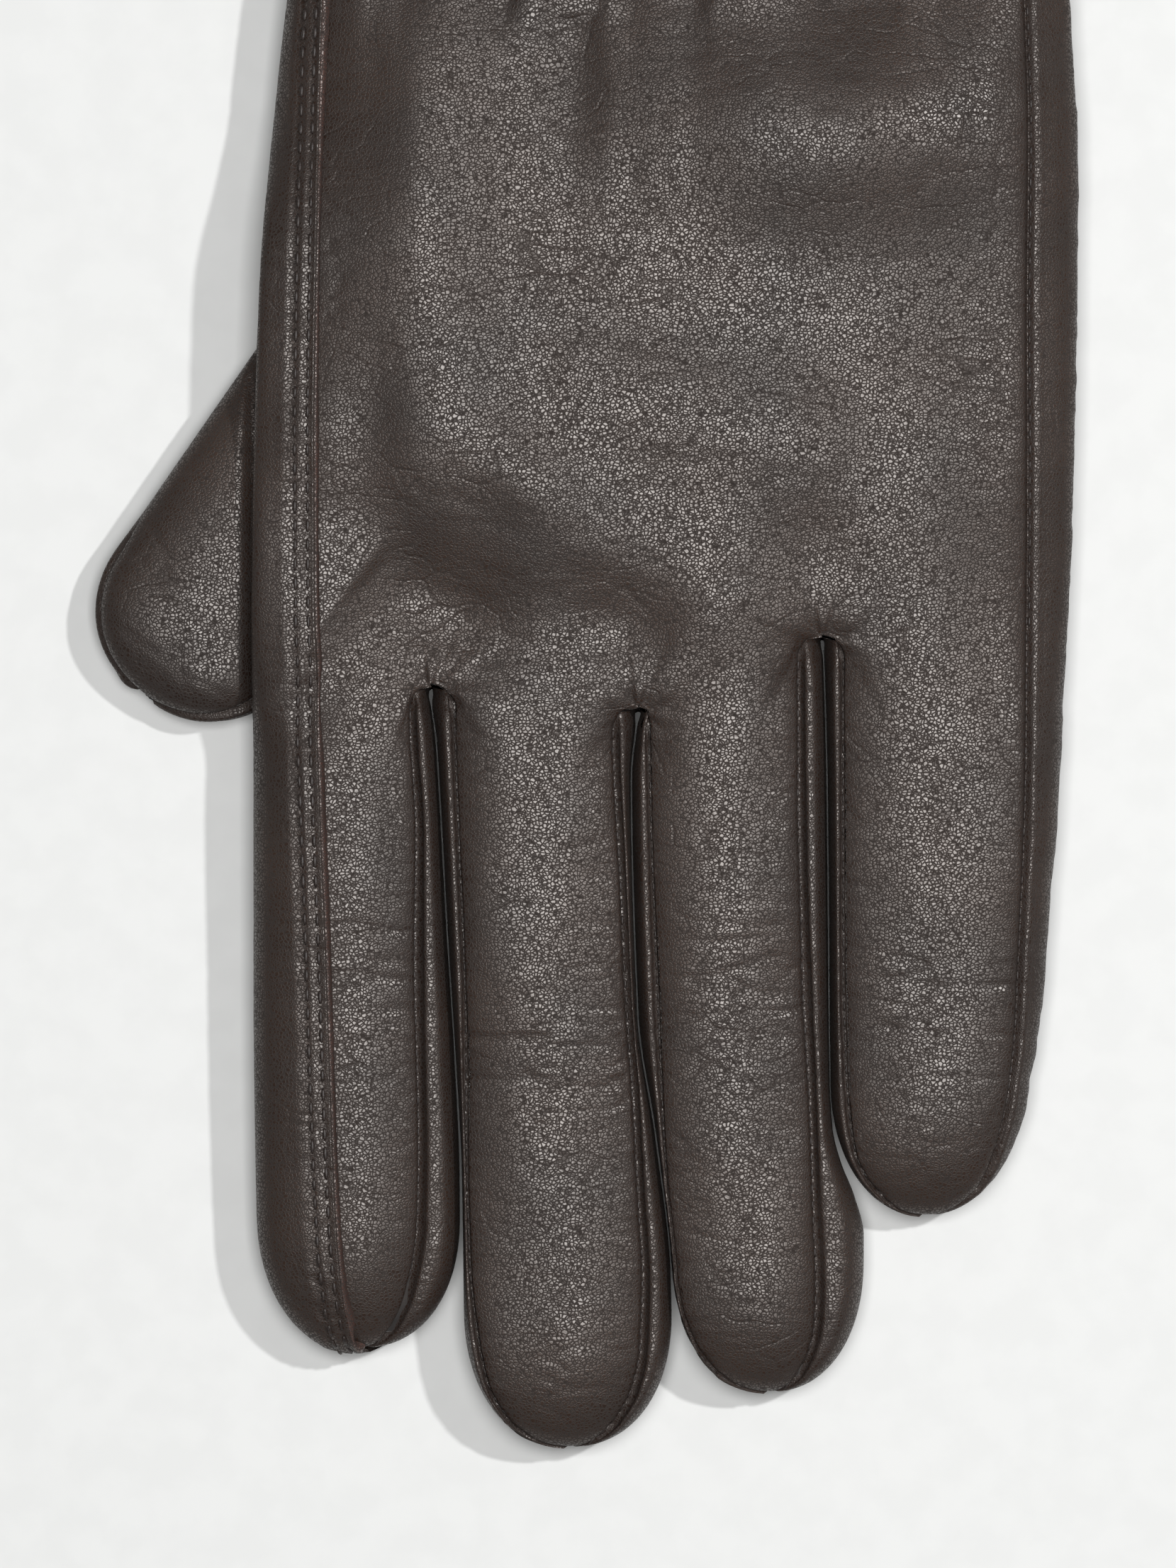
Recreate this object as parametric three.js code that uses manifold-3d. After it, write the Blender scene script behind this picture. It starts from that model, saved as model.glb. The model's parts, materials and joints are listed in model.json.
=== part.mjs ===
// A left-hand leather glove with a knit lining, laid flat with its palm down.
// Millimetres, +Z up. The fingers point to -Y, the thumb to -X, and the cuff is at +Y.
// Every wall is a panel cut from the skin of a tube: a back, a palm and two sides for the hand, for
// each half of each finger and for the thumb. The panels of a tube stay apart by the seam gap.

import * as THREE from "three";
import { mergeVertices } from "three/addons/utils/BufferGeometryUtils.js";
import Module from "manifold-3d";

// ---- Driving dimensions ----

const CUFF_Y = 122.8;
const HEM_DEPTH = 7;
const WRIST = { top: 68, bottom: 56 };
const KNUCKLE_Y = -38.5;
const SEAM_GAP = 0.3;

// Depths below the outer skin: leather, then a thin layer for pads and elastic, then the lining.
const LEATHER = { outer: 0, inner: 0.8 };
const INTERLAYER = { outer: 1.1, inner: 1.5 };
const LINING = { outer: 1.8, inner: 2.5 };
const LABEL = { outer: 2.8, inner: 3.3 };

// The section of a tube is a superellipse, squarer and flattened below, where it lies on a surface.
const TOP_POWER = 2.6;
const SOLE_POWER = 4;
const SOLE_FLATNESS = 1.06;

// Where the four panels of a tube meet, as angles round its section from the +X side.
const BACK_SEAM = THREE.MathUtils.degToRad(35);
const PALM_SEAM = THREE.MathUtils.degToRad(38);

const HAND_HEIGHT = 16;
const FINGER_ROOT_HEIGHT = 14;
const FINGER_TIP_HEIGHT = 12;
const TIP_ROUND_POWER = 2.2;
const TIP_ROUND_HEIGHT = 9;
const TIP_END = 0.97;

// The thumb lies under the index edge of the palm, which is lifted to make room for it.
const THUMB_ROOT = new THREE.Vector2(-23, 13);
const THUMB_TURN = THREE.MathUtils.degToRad(-34.7);
const THUMB_LENGTH = 40.5;
const THUMB_HALF_WIDTH = 13.45;
const THUMB_HEIGHT = 9.8;
const THUMB_BEND_Y = -20;
const THUMB_HOLE_RADIUS = 8;
const THUMB_SWING = THREE.MathUtils.degToRad(40);
const PALM_LIFT = 10.7;
const LIFT_SHOWN_ABOVE = 0.5;
const LIFT_OVERHANG = 1.2;

// Outlines as [y, x] pairs, from the cuff to the fingers.
const HAND_OUTLINE = {
  left: [[CUFF_Y, -37], [90, -33], [66, -33], [54, -36.1], [12, -39.7], [-24, -40.5], [-39, -40.6]],
  right: [[CUFF_Y, 58.4], [90, 54], [66, 55], [54, 58.8], [28, 59.9], [-10, 59.2], [-39, 57.8]],
};

const FINGERS = [
  {
    name: "index",
    left: [[KNUCKLE_Y, -40.6], [-66, -40.6], [-92, -40.2], [-111, -39.4]],
    right: [[KNUCKLE_Y, -17.9], [-66, -16.6], [-90, -15.8], [-111, -15.6]],
    bend: -66,
    tip: -110.7,
    round: 16,
    sides: ["index_side_strip", "index_inner_fourchette"],
  },
  {
    name: "middle",
    left: [[KNUCKLE_Y, -17.4], [-76, -15.5], [-95, -15], [-123, -14.9]],
    right: [[KNUCKLE_Y, 5], [-70, 5.8], [-85, 8], [-102, 9.9], [-123, 10.2]],
    bend: -76,
    tip: -122.8,
    round: 17,
    sides: ["middle_outer_fourchette", "middle_inner_fourchette"],
  },
  {
    name: "ring",
    left: [[KNUCKLE_Y, 5.5], [-70, 6.4], [-85, 8.6], [-102, 10.5], [-117, 11]],
    right: [[KNUCKLE_Y, 28.9], [-84, 29.4], [-98, 33.4], [-117, 33.4]],
    bend: -72,
    tip: -116.1,
    round: 16,
    sides: ["ring_outer_fourchette", "ring_inner_fourchette"],
  },
  {
    name: "little",
    left: [[KNUCKLE_Y, 29.5], [-80, 30], [-95, 30.4]],
    right: [[KNUCKLE_Y, 57.8], [-57, 56.5], [-79, 54], [-95, 52]],
    bend: -62,
    tip: -94.5,
    round: 16,
    sides: ["little_outer_fourchette", "little_side_strip"],
  },
];

const MATERIALS = {
  leather: new THREE.MeshStandardMaterial({ color: 0x4a3a33, roughness: 0.55, metalness: 0 }),
  lining: new THREE.MeshStandardMaterial({ color: 0x2b2523, roughness: 0.95, metalness: 0 }),
  elastic: new THREE.MeshStandardMaterial({ color: 0x1f1b1a, roughness: 0.9, metalness: 0 }),
  touchPad: new THREE.MeshStandardMaterial({ color: 0x55504d, roughness: 0.7, metalness: 0.2 }),
  label: new THREE.MeshStandardMaterial({ color: 0xd8d2c8, roughness: 0.9, metalness: 0 }),
};

const wasm = await Module();
wasm.setup();

// ---- Small helpers ----

const { lerp, clamp, smoothstep } = THREE.MathUtils;

// The value at a position on straight lines between [position, value] pairs, whose positions fall.
function along(pairs) {
  return (position) => {
    const last = pairs.length - 1;
    if (position >= pairs[0][0]) return pairs[0][1];
    if (position <= pairs[last][0]) return pairs[last][1];
    const i = pairs.findIndex((pair) => position > pair[0]);
    const [from, to] = [pairs[i - 1], pairs[i]];
    return lerp(to[1], from[1], (position - to[0]) / (from[0] - to[0]));
  };
}

// Evenly spread numbers from one value to another, both included.
function spread(from, to, steps) {
  return Array.from({ length: steps + 1 }, (_, i) => lerp(from, to, i / steps));
}

// How much of a tube's size is left at a distance into its rounded end.
function roundedOff(distance, radius) {
  const share = clamp(distance / radius, 0, 1);
  return (1 - share ** TIP_ROUND_POWER) ** (1 / TIP_ROUND_POWER);
}

// Merges shared vertices, drops collapsed triangles and turns the faces out.
function closedBody(geometry) {
  geometry.deleteAttribute("normal");
  geometry.deleteAttribute("uv");
  const merged = mergeVertices(geometry, 1e-3);
  const index = Array.from(merged.index.array);
  const kept = [];
  let volume = 0;
  const corners = [new THREE.Vector3(), new THREE.Vector3(), new THREE.Vector3()];
  for (let i = 0; i < index.length; i += 3) {
    const [a, b, c] = index.slice(i, i + 3);
    if (a === b || b === c || c === a) continue;
    kept.push(a, b, c);
    corners.forEach((v, k) => v.fromBufferAttribute(merged.attributes.position, [a, b, c][k]));
    volume += corners[0].dot(corners[1].clone().cross(corners[2]));
  }
  if (volume < 0) {
    for (let i = 0; i < kept.length; i += 3) {
      [kept[i + 1], kept[i + 2]] = [kept[i + 2], kept[i + 1]];
    }
  }
  merged.setIndex(kept);
  merged.computeVertexNormals();
  return merged;
}

function solidOf(geometry) {
  const vertProperties = new Float32Array(geometry.attributes.position.array);
  const triVerts = new Uint32Array(geometry.index.array);
  return new wasm.Manifold(new wasm.Mesh({ numProp: 3, vertProperties, triVerts }));
}

// Cuts an upright round hole, centred on (x, y), through whatever lies between two heights.
function withRoundHole(geometry, x, y, radius, low, high) {
  const drill = new THREE.CylinderGeometry(radius, radius, high - low, 20);
  drill.rotateX(Math.PI / 2);
  drill.translate(x, y, (low + high) / 2);
  const mesh = solidOf(geometry).subtract(solidOf(closedBody(drill))).getMesh();
  const cut = new THREE.BufferGeometry();
  cut.setAttribute("position", new THREE.BufferAttribute(mesh.vertProperties, 3));
  cut.setIndex(Array.from(mesh.triVerts));
  return closedBody(cut);
}

// ---- Tubes: the hand, the fingers and the thumb ----

// A point at a depth below the skin of a tube, at an angle round its section and a place along it.
function tubePoint(tube, turn, y, depth) {
  const section = tube.section(y);
  const [c, s] = [Math.cos(turn), Math.sin(turn)];
  const power = s < 0 ? SOLE_POWER : TOP_POWER;
  const reach = (Math.abs(c) ** power + Math.abs(s) ** power) ** (-1 / power);
  const upward = Math.max(-1, reach * s * (s < 0 ? SOLE_FLATNESS : 1));
  const lift = tube.lift(section.centre + section.half * reach * c, y);
  const low = section.low + lift;
  const high = section.high + lift * LIFT_SHOWN_ABOVE;
  const sink = Math.min(depth, (high - low) * 0.4);
  const half = Math.max(section.half - depth, section.half * 0.3);
  return new THREE.Vector3(
    section.centre + half * reach * c,
    y,
    lerp(low + sink, high - sink, (upward + 1) / 2),
  );
}

// The angle that a distance along the skin takes up, at one place of a tube.
function angleOf(distance, tube, turn, y) {
  const step = 0.02;
  const ahead = tubePoint(tube, turn + step, y, LEATHER.inner);
  const behind = tubePoint(tube, turn - step, y, LEATHER.inner);
  return (distance * 2 * step) / ahead.distanceTo(behind);
}

// The four panels of a tube's skin, each between two angles.
const SPANS = {
  right: { from: -PALM_SEAM, to: BACK_SEAM },
  back: { from: BACK_SEAM, to: Math.PI - BACK_SEAM },
  left: { from: Math.PI - BACK_SEAM, to: Math.PI + PALM_SEAM },
  palm: { from: Math.PI + PALM_SEAM, to: 2 * Math.PI - PALM_SEAM },
};

// A panel of a tube between two angles: a plate bent to the skin, with a seam gap at its long edges.
function panelGeometry(tube, span, stations, steps, layer = LEATHER) {
  const rows = stations.length - 1;
  const geometry = new THREE.BoxGeometry(1, 1, 1, steps, rows, 1);
  const position = geometry.attributes.position;
  for (let i = 0; i < position.count; i += 1) {
    const y = stations[Math.round((position.getY(i) + 0.5) * rows)];
    const depth = position.getZ(i) > 0 ? layer.outer : layer.inner;
    const from = span.from + angleOf(SEAM_GAP / 2, tube, span.from, y);
    const to = span.to - angleOf(SEAM_GAP / 2, tube, span.to, y);
    const point = tubePoint(tube, lerp(from, to, position.getX(i) + 0.5), y, depth);
    position.setXYZ(i, point.x, point.y, point.z);
  }
  return closedBody(geometry);
}

// The angles at which a sleeve is sampled, so that its flats match the panels outside it.
function sleeveTurns(steps) {
  return Object.entries(SPANS).flatMap(([side, span]) =>
    spread(span.from, span.to, steps[side]).slice(0, -1),
  );
}

// A sleeve all round a tube: open at both ends, or closed beyond its last station.
function sleeveGeometry(tube, stations, steps, layer, closed = false) {
  const turns = sleeveTurns(steps);
  const outside = stations.map((y) => ({ y, depth: layer.outer }));
  const inside = stations.map((y) => ({ y, depth: layer.inner })).reverse();
  const profile = [...inside, ...outside];
  if (closed) {
    const end = stations.at(-1);
    const onward = Math.sign(end - stations[0]);
    profile.unshift({ y: end + onward * 0.2, pole: true });
    profile.push({ y: end + onward * 0.9, pole: true });
  }
  const points = profile.map((place, k) => new THREE.Vector2(place.pole ? 0 : 1, k));
  if (!closed) points.push(points[0].clone());
  const geometry = new THREE.LatheGeometry(points, turns.length);
  const position = geometry.attributes.position;
  for (let i = 0; i < position.count; i += 1) {
    const place = profile[Math.round(position.getY(i))];
    const angle = Math.atan2(position.getX(i), position.getZ(i)) / (2 * Math.PI);
    const turn = turns[(Math.round(angle * turns.length) + turns.length) % turns.length];
    const section = tube.section(place.y);
    const point = place.pole
      ? new THREE.Vector3(section.centre, place.y, (section.low + section.high) / 2)
      : tubePoint(tube, turn, place.y, place.depth);
    position.setXYZ(i, point.x, point.y, point.z);
  }
  return closedBody(geometry);
}

// How far the palm is lifted at a place: over the whole sweep of the thumb, and easing off round it.
function palmLift(x, y) {
  const place = new THREE.Vector3(x, y, 0);
  const root = new THREE.Vector3(THUMB_ROOT.x, THUMB_ROOT.y, 0);
  const distances = spread(0, THUMB_SWING, 2).map((swing) => {
    const turn = THUMB_TURN - swing;
    const reach = new THREE.Vector3(Math.sin(turn), -Math.cos(turn), 0).multiplyScalar(THUMB_LENGTH);
    const nearest = new THREE.Line3(root, root.clone().add(reach));
    return nearest.closestPointToPoint(place, true, new THREE.Vector3()).distanceTo(place);
  });
  const beyond = Math.min(...distances) - THUMB_HALF_WIDTH + LIFT_OVERHANG;
  const ease = lerp(6.9, 20, smoothstep(y, -24, 0));
  return PALM_LIFT * (1 - smoothstep(beyond, 0, ease));
}

const noLift = () => 0;

function handTube() {
  const left = along(HAND_OUTLINE.left);
  const right = along(HAND_OUTLINE.right);
  return {
    lift: palmLift,
    section: (y) => ({
      centre: (left(y) + right(y)) / 2,
      half: (right(y) - left(y)) / 2,
      low: 0,
      high: lerp(FINGER_ROOT_HEIGHT, HAND_HEIGHT, smoothstep(y, KNUCKLE_Y, 0)),
    }),
  };
}

function fingerTube(finger) {
  const left = along(finger.left);
  const right = along(finger.right);
  const start = finger.tip + TIP_END * finger.round;
  const heightStart = finger.tip + TIP_END * TIP_ROUND_HEIGHT;
  return {
    lift: noLift,
    section: (y) => {
      const height = lerp(
        FINGER_TIP_HEIGHT,
        FINGER_ROOT_HEIGHT,
        smoothstep(y, finger.tip, KNUCKLE_Y),
      );
      const flat = roundedOff(heightStart - y, TIP_ROUND_HEIGHT);
      return {
        centre: (left(y) + right(y)) / 2,
        half: ((right(y) - left(y)) / 2) * roundedOff(start - y, finger.round),
        low: (height / 2) * (1 - flat),
        high: (height / 2) * (1 + flat),
      };
    },
  };
}

// The thumb in its own frame: its root is at the origin and its tip points to -Y.
function thumbTube() {
  const span = THUMB_HALF_WIDTH * TIP_END;
  return {
    lift: noLift,
    section: (y) => {
      const past = Math.max(y, -THUMB_LENGTH - y, 0);
      const pastHeight = past - (span - TIP_END * TIP_ROUND_HEIGHT);
      const flat = roundedOff(pastHeight, TIP_ROUND_HEIGHT);
      return {
        centre: 0,
        half: THUMB_HALF_WIDTH * roundedOff(past, THUMB_HALF_WIDTH),
        low: (THUMB_HEIGHT / 2) * (1 - flat),
        high: (THUMB_HEIGHT / 2) * (1 + flat),
      };
    },
  };
}

// Places along a tube towards a rounded end: even at first, then crowding into the round.
function stationsToTip(from, start, reach, evenSteps, roundSteps) {
  const turn = spread(0, Math.asin(TIP_END), roundSteps).slice(1);
  const onward = Math.sign(start - from);
  return [...spread(from, start, evenSteps), ...turn.map((a) => start + onward * reach * Math.sin(a))];
}

// ---- The glove ----

const glove = new THREE.Group();

function addPiece(group, name, geometry, material) {
  const mesh = new THREE.Mesh(geometry, material);
  mesh.name = name;
  group.add(mesh);
}

function addHand() {
  const hand = new THREE.Group();
  const tube = handTube();
  const front = KNUCKLE_Y + SEAM_GAP * 0.6;
  const body = [...spread(CUFF_Y - HEM_DEPTH - SEAM_GAP, WRIST.top, 3), ...spread(WRIST.bottom, 0, 4)];
  const stations = [...body, -8, -15, -21, -26, -30, -34, front];
  const steps = { right: 2, back: 10, left: 2, palm: 14 };
  const hole = [THUMB_ROOT.x, THUMB_ROOT.y, THUMB_HOLE_RADIUS, PALM_LIFT - 2, PALM_LIFT + 4];

  const panel = (side) => panelGeometry(tube, SPANS[side], stations, steps[side]);
  addPiece(hand, "back_panel", panel("back"), MATERIALS.leather);
  addPiece(hand, "palm_panel", withRoundHole(panel("palm"), ...hole), MATERIALS.leather);
  addPiece(hand, "index_side_strip_hand", panel("left"), MATERIALS.leather);
  addPiece(hand, "little_side_strip_hand", panel("right"), MATERIALS.leather);

  const lining = sleeveGeometry(tube, stations, steps, LINING);
  addPiece(hand, "hand_lining", withRoundHole(lining, ...hole), MATERIALS.lining);

  const band = [WRIST.top, WRIST.bottom];
  const around = { right: 2, back: 10, left: 2, palm: 10 };
  const elastic = sleeveGeometry(tube, band, around, INTERLAYER);
  addPiece(hand, "wrist_elastic", elastic, MATERIALS.elastic);

  const folded = { outer: LEATHER.outer, inner: LINING.inner };
  const hem = sleeveGeometry(tube, [CUFF_Y, CUFF_Y - HEM_DEPTH], around, folded);
  addPiece(hand, "cuff_hem", hem, MATERIALS.leather);

  const labelSpan = { from: Math.PI / 2 - 0.16, to: Math.PI / 2 + 0.16 };
  const label = panelGeometry(tube, labelSpan, spread(112, 92, 2), 2, LABEL);
  addPiece(hand, "care_label", label, MATERIALS.label);
  glove.add(hand);
}

// The pieces of one stretch of a finger or thumb: back, palm, two sides and lining.
function addSegment(group, tube, names, stations, steps, liningStations, closed) {
  for (const side of ["back", "palm", "left", "right"]) {
    const geometry = panelGeometry(tube, SPANS[side], stations, steps[side]);
    addPiece(group, names[side], geometry, MATERIALS.leather);
  }
  const lining = sleeveGeometry(tube, liningStations, steps, LINING, closed);
  addPiece(group, names.lining, lining, MATERIALS.lining);
}

// A touch pad: a thin patch between leather and lining, on the palm side of a tip.
function addTouchPad(group, name, tube, stations) {
  const width = 0.55;
  const span = { from: 1.5 * Math.PI - width, to: 1.5 * Math.PI + width };
  const geometry = panelGeometry(tube, span, stations, 2, INTERLAYER);
  addPiece(group, name, geometry, MATERIALS.touchPad);
}

function addFinger(finger) {
  const tube = fingerTube(finger);
  const half = SEAM_GAP * 0.6;
  const start = finger.tip + TIP_END * finger.round;
  const steps = { right: 2, back: 4, left: 2, palm: 4 };
  const root = new THREE.Group();
  const end = new THREE.Group();
  const names = (part) => ({
    back: `${finger.name}_back_${part}`,
    palm: `${finger.name}_palm_${part}`,
    left: `${finger.sides[0]}_${part}`,
    right: `${finger.sides[1]}_${part}`,
    lining: `${finger.name}_lining_${part}`,
  });
  const base = spread(KNUCKLE_Y - half, finger.bend + half, 3);
  addSegment(root, tube, names("base"), base, steps, base);

  const stations = stationsToTip(finger.bend - half, start, finger.round, 3, 4);
  addSegment(end, tube, names("tip"), stations, steps, stations.slice(0, -1), true);
  if (finger.name === "index") addTouchPad(end, "index_touch_pad", tube, spread(start + 5, start - 7, 2));
  root.add(end);
  glove.add(root);
}

function addThumb() {
  const tube = thumbTube();
  const half = SEAM_GAP * 0.6;
  const steps = { right: 2, back: 6, left: 2, palm: 4 };
  const thumb = new THREE.Group();
  thumb.position.set(THUMB_ROOT.x, THUMB_ROOT.y, 0);
  thumb.rotation.z = THUMB_TURN;
  const names = (part) => ({
    back: `thumb_back_${part}`,
    palm: `thumb_palm_${part}`,
    left: `thumb_outer_side_${part}`,
    right: `thumb_inner_side_${part}`,
    lining: `thumb_lining_${part}`,
  });
  const base = stationsToTip(THUMB_BEND_Y + half, 0, THUMB_HALF_WIDTH, 3, 4);
  addSegment(thumb, tube, names("base"), base, steps, base.slice(0, -1), true);
  const stations = stationsToTip(THUMB_BEND_Y - half, -THUMB_LENGTH, THUMB_HALF_WIDTH, 2, 4);
  addSegment(thumb, tube, names("tip"), stations, steps, stations.slice(0, -1), true);
  const hole = [0, 0, THUMB_HOLE_RADIUS, THUMB_HEIGHT / 2, THUMB_HEIGHT + 2];
  for (const name of ["thumb_back_base", "thumb_lining_base"]) {
    const mesh = thumb.getObjectByName(name);
    mesh.geometry = withRoundHole(mesh.geometry, ...hole);
  }
  addTouchPad(thumb, "thumb_touch_pad", tube, spread(-THUMB_LENGTH + 7, -THUMB_LENGTH - 6, 2));
  glove.add(thumb);
}

addHand();
FINGERS.forEach(addFinger);
addThumb();

export default glove;
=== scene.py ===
import json
import logging
import math
from collections.abc import Callable, Sequence
from dataclasses import dataclass, field
from enum import Enum

import bpy
import numpy as np
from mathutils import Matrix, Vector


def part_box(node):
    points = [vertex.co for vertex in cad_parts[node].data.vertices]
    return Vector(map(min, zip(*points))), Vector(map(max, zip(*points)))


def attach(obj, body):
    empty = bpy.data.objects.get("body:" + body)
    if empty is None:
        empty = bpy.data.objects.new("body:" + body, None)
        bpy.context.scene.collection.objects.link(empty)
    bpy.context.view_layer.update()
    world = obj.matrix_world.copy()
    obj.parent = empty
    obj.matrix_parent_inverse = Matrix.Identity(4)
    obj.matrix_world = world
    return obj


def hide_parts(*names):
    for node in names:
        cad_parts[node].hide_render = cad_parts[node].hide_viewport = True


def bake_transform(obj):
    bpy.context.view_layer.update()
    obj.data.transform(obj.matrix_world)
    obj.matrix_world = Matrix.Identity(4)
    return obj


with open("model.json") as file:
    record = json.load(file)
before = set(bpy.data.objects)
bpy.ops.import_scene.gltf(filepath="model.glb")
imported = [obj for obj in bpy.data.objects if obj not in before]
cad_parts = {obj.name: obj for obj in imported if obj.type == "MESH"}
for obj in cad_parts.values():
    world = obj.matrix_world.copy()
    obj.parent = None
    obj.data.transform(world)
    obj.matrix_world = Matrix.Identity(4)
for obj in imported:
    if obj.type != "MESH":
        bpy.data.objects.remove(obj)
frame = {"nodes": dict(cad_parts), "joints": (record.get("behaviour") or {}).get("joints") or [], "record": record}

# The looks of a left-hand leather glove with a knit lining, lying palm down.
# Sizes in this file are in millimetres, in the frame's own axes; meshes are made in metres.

log = logging.getLogger("glove")

MM = 0.001
TOP_POWER = 2.6
SOLE_POWER = 4.0
SOLE_FLATNESS = 1.06
SIDE_SEAM_BELOW = math.radians(38)
LEATHER_SPLIT_Y = -22.0
BLEND_HALF = 8.0
HAND_END_Y = -38.5
STRIP_ROWS = (0.95, 2.6)
STRIP_SEED = 5

Array = np.ndarray


# ---------------------------------------------------------------------------
# Numbers: easing, smooth lines and repeatable noise
# ---------------------------------------------------------------------------


def ease(value: Array | float) -> Array:
    """Eases from 0 to 1 as a value goes from 0 to 1."""
    t = np.clip(value, 0.0, 1.0)
    return t * t * (3.0 - 2.0 * t)


def mix(a: Array | float, b: Array | float, share: Array | float) -> Array:
    """Mixes two values: a at a share of 0, b at a share of 1."""
    return a + (b - a) * share


def hump(distance: Array, width: float) -> Array:
    """A bell of height 1 over a distance of 0, which dies away past a width."""
    return np.exp(-((distance / width) ** 2))


def smooth_line(pairs: Sequence[tuple[float, float]]) -> Callable[[Array], Array]:
    """Makes a smooth line through (position, value) pairs.

    Args:
        pairs: the positions and the values there, in any order.

    Returns:
        A function from positions to values, level beyond the outermost pairs.
    """
    ordered = sorted(pairs)
    at = np.array([p[0] for p in ordered], float)
    value = np.array([p[1] for p in ordered], float)
    rise = np.diff(value) / np.diff(at)
    same_way = rise[:-1] * rise[1:] > 0
    inner = np.where(same_way, 2 * rise[:-1] * rise[1:] / np.where(same_way, rise[:-1] + rise[1:], 1.0), 0.0)
    slope = np.concatenate([rise[:1], inner, rise[-1:]])

    def line(position: Array) -> Array:
        """The line's value at each position."""
        p = np.clip(np.asarray(position, float), at[0], at[-1])
        i = np.clip(np.searchsorted(at, p) - 1, 0, len(at) - 2)
        h = at[i + 1] - at[i]
        t = (p - at[i]) / h
        start = (1 + 2 * t) * (1 - t) ** 2 * value[i] + t * (1 - t) ** 2 * h * slope[i]
        return start + t * t * (3 - 2 * t) * value[i + 1] + t * t * (t - 1) * h * slope[i + 1]

    return line


def lattice_noise(x: Array, y: Array, seed: int) -> Array:
    """Smooth noise between -1 and 1 with a feature about every unit.

    Args:
        x: first coordinates.
        y: second coordinates, of the same shape.
        seed: which of the repeatable patterns.

    Returns:
        The noise at each place.
    """
    table = np.random.default_rng(seed).uniform(-1, 1, (64, 64))
    ix, iy = np.floor(x).astype(int), np.floor(y).astype(int)
    tx, ty = ease(x - ix), ease(y - iy)
    near = mix(table[ix % 64, iy % 64], table[(ix + 1) % 64, iy % 64], tx)
    far = mix(table[ix % 64, (iy + 1) % 64], table[(ix + 1) % 64, (iy + 1) % 64], tx)
    return mix(near, far, ty)


def creases(x: Array, y: Array, seed: int, sharpness: float = 3.0) -> Array:
    """Thin lines between 0 and 1 where smooth noise crosses zero, as creases in leather do."""
    rough = lattice_noise(x, y, seed) + 0.4 * lattice_noise(2.1 * x, 2.1 * y, seed + 1)
    return np.clip(1.0 - sharpness * np.abs(rough), 0.0, 1.0)


def rounded_off(distance: Array, radius: float, power: float = 2.2) -> Array:
    """How much of a tube's size is left at a distance into its rounded end."""
    share = np.clip(distance / radius, 0.0, 1.0)
    return (1.0 - share**power) ** (1.0 / power)


# ---------------------------------------------------------------------------
# Sections: the shape of a tube across its length
# ---------------------------------------------------------------------------


@dataclass
class Section:
    """The outline of a tube at each of its rows: middle, half width, and lowest and highest point."""

    centre: Array
    half: Array
    low: Array
    high: Array
    power: float = TOP_POWER

    def turn_at(self, ratio: Array) -> Array:
        """The angle round the upper half where the section is that share of its half width wide."""
        size = np.clip(np.abs(ratio), 1e-3, 0.9995)
        rise = (size**-self.power - 1.0) ** (1.0 / self.power)
        turn = np.arctan(rise)
        return np.where(ratio >= 0, turn, math.pi - turn)

    def at(self, turn: Array, y: Array, lift: Callable[[Array, Array], Array] | None = None) -> Array:
        """Points of the section at angles from its +X side.

        Args:
            turn: angles, rows by columns.
            y: each row's place along the tube.
            lift: how far the underside is lifted at a place, or None.

        Returns:
            The points, rows by columns by 3.
        """
        c, s = np.cos(turn), np.sin(turn)
        power = np.where(s < 0, SOLE_POWER, self.power)
        reach = (np.abs(c) ** power + np.abs(s) ** power) ** (-1.0 / power)
        up = np.maximum(-1.0, reach * s * np.where(s < 0, SOLE_FLATNESS, 1.0))
        x = self.centre[:, None] + self.half[:, None] * reach * c
        yy = np.broadcast_to(y[:, None], x.shape)
        raised = lift(x, yy) if lift else np.zeros_like(x)
        low = self.low[:, None] + raised
        high = np.broadcast_to(self.high[:, None], x.shape)
        return np.stack([x, yy, mix(low, high, (up + 1) / 2)], -1)


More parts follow.
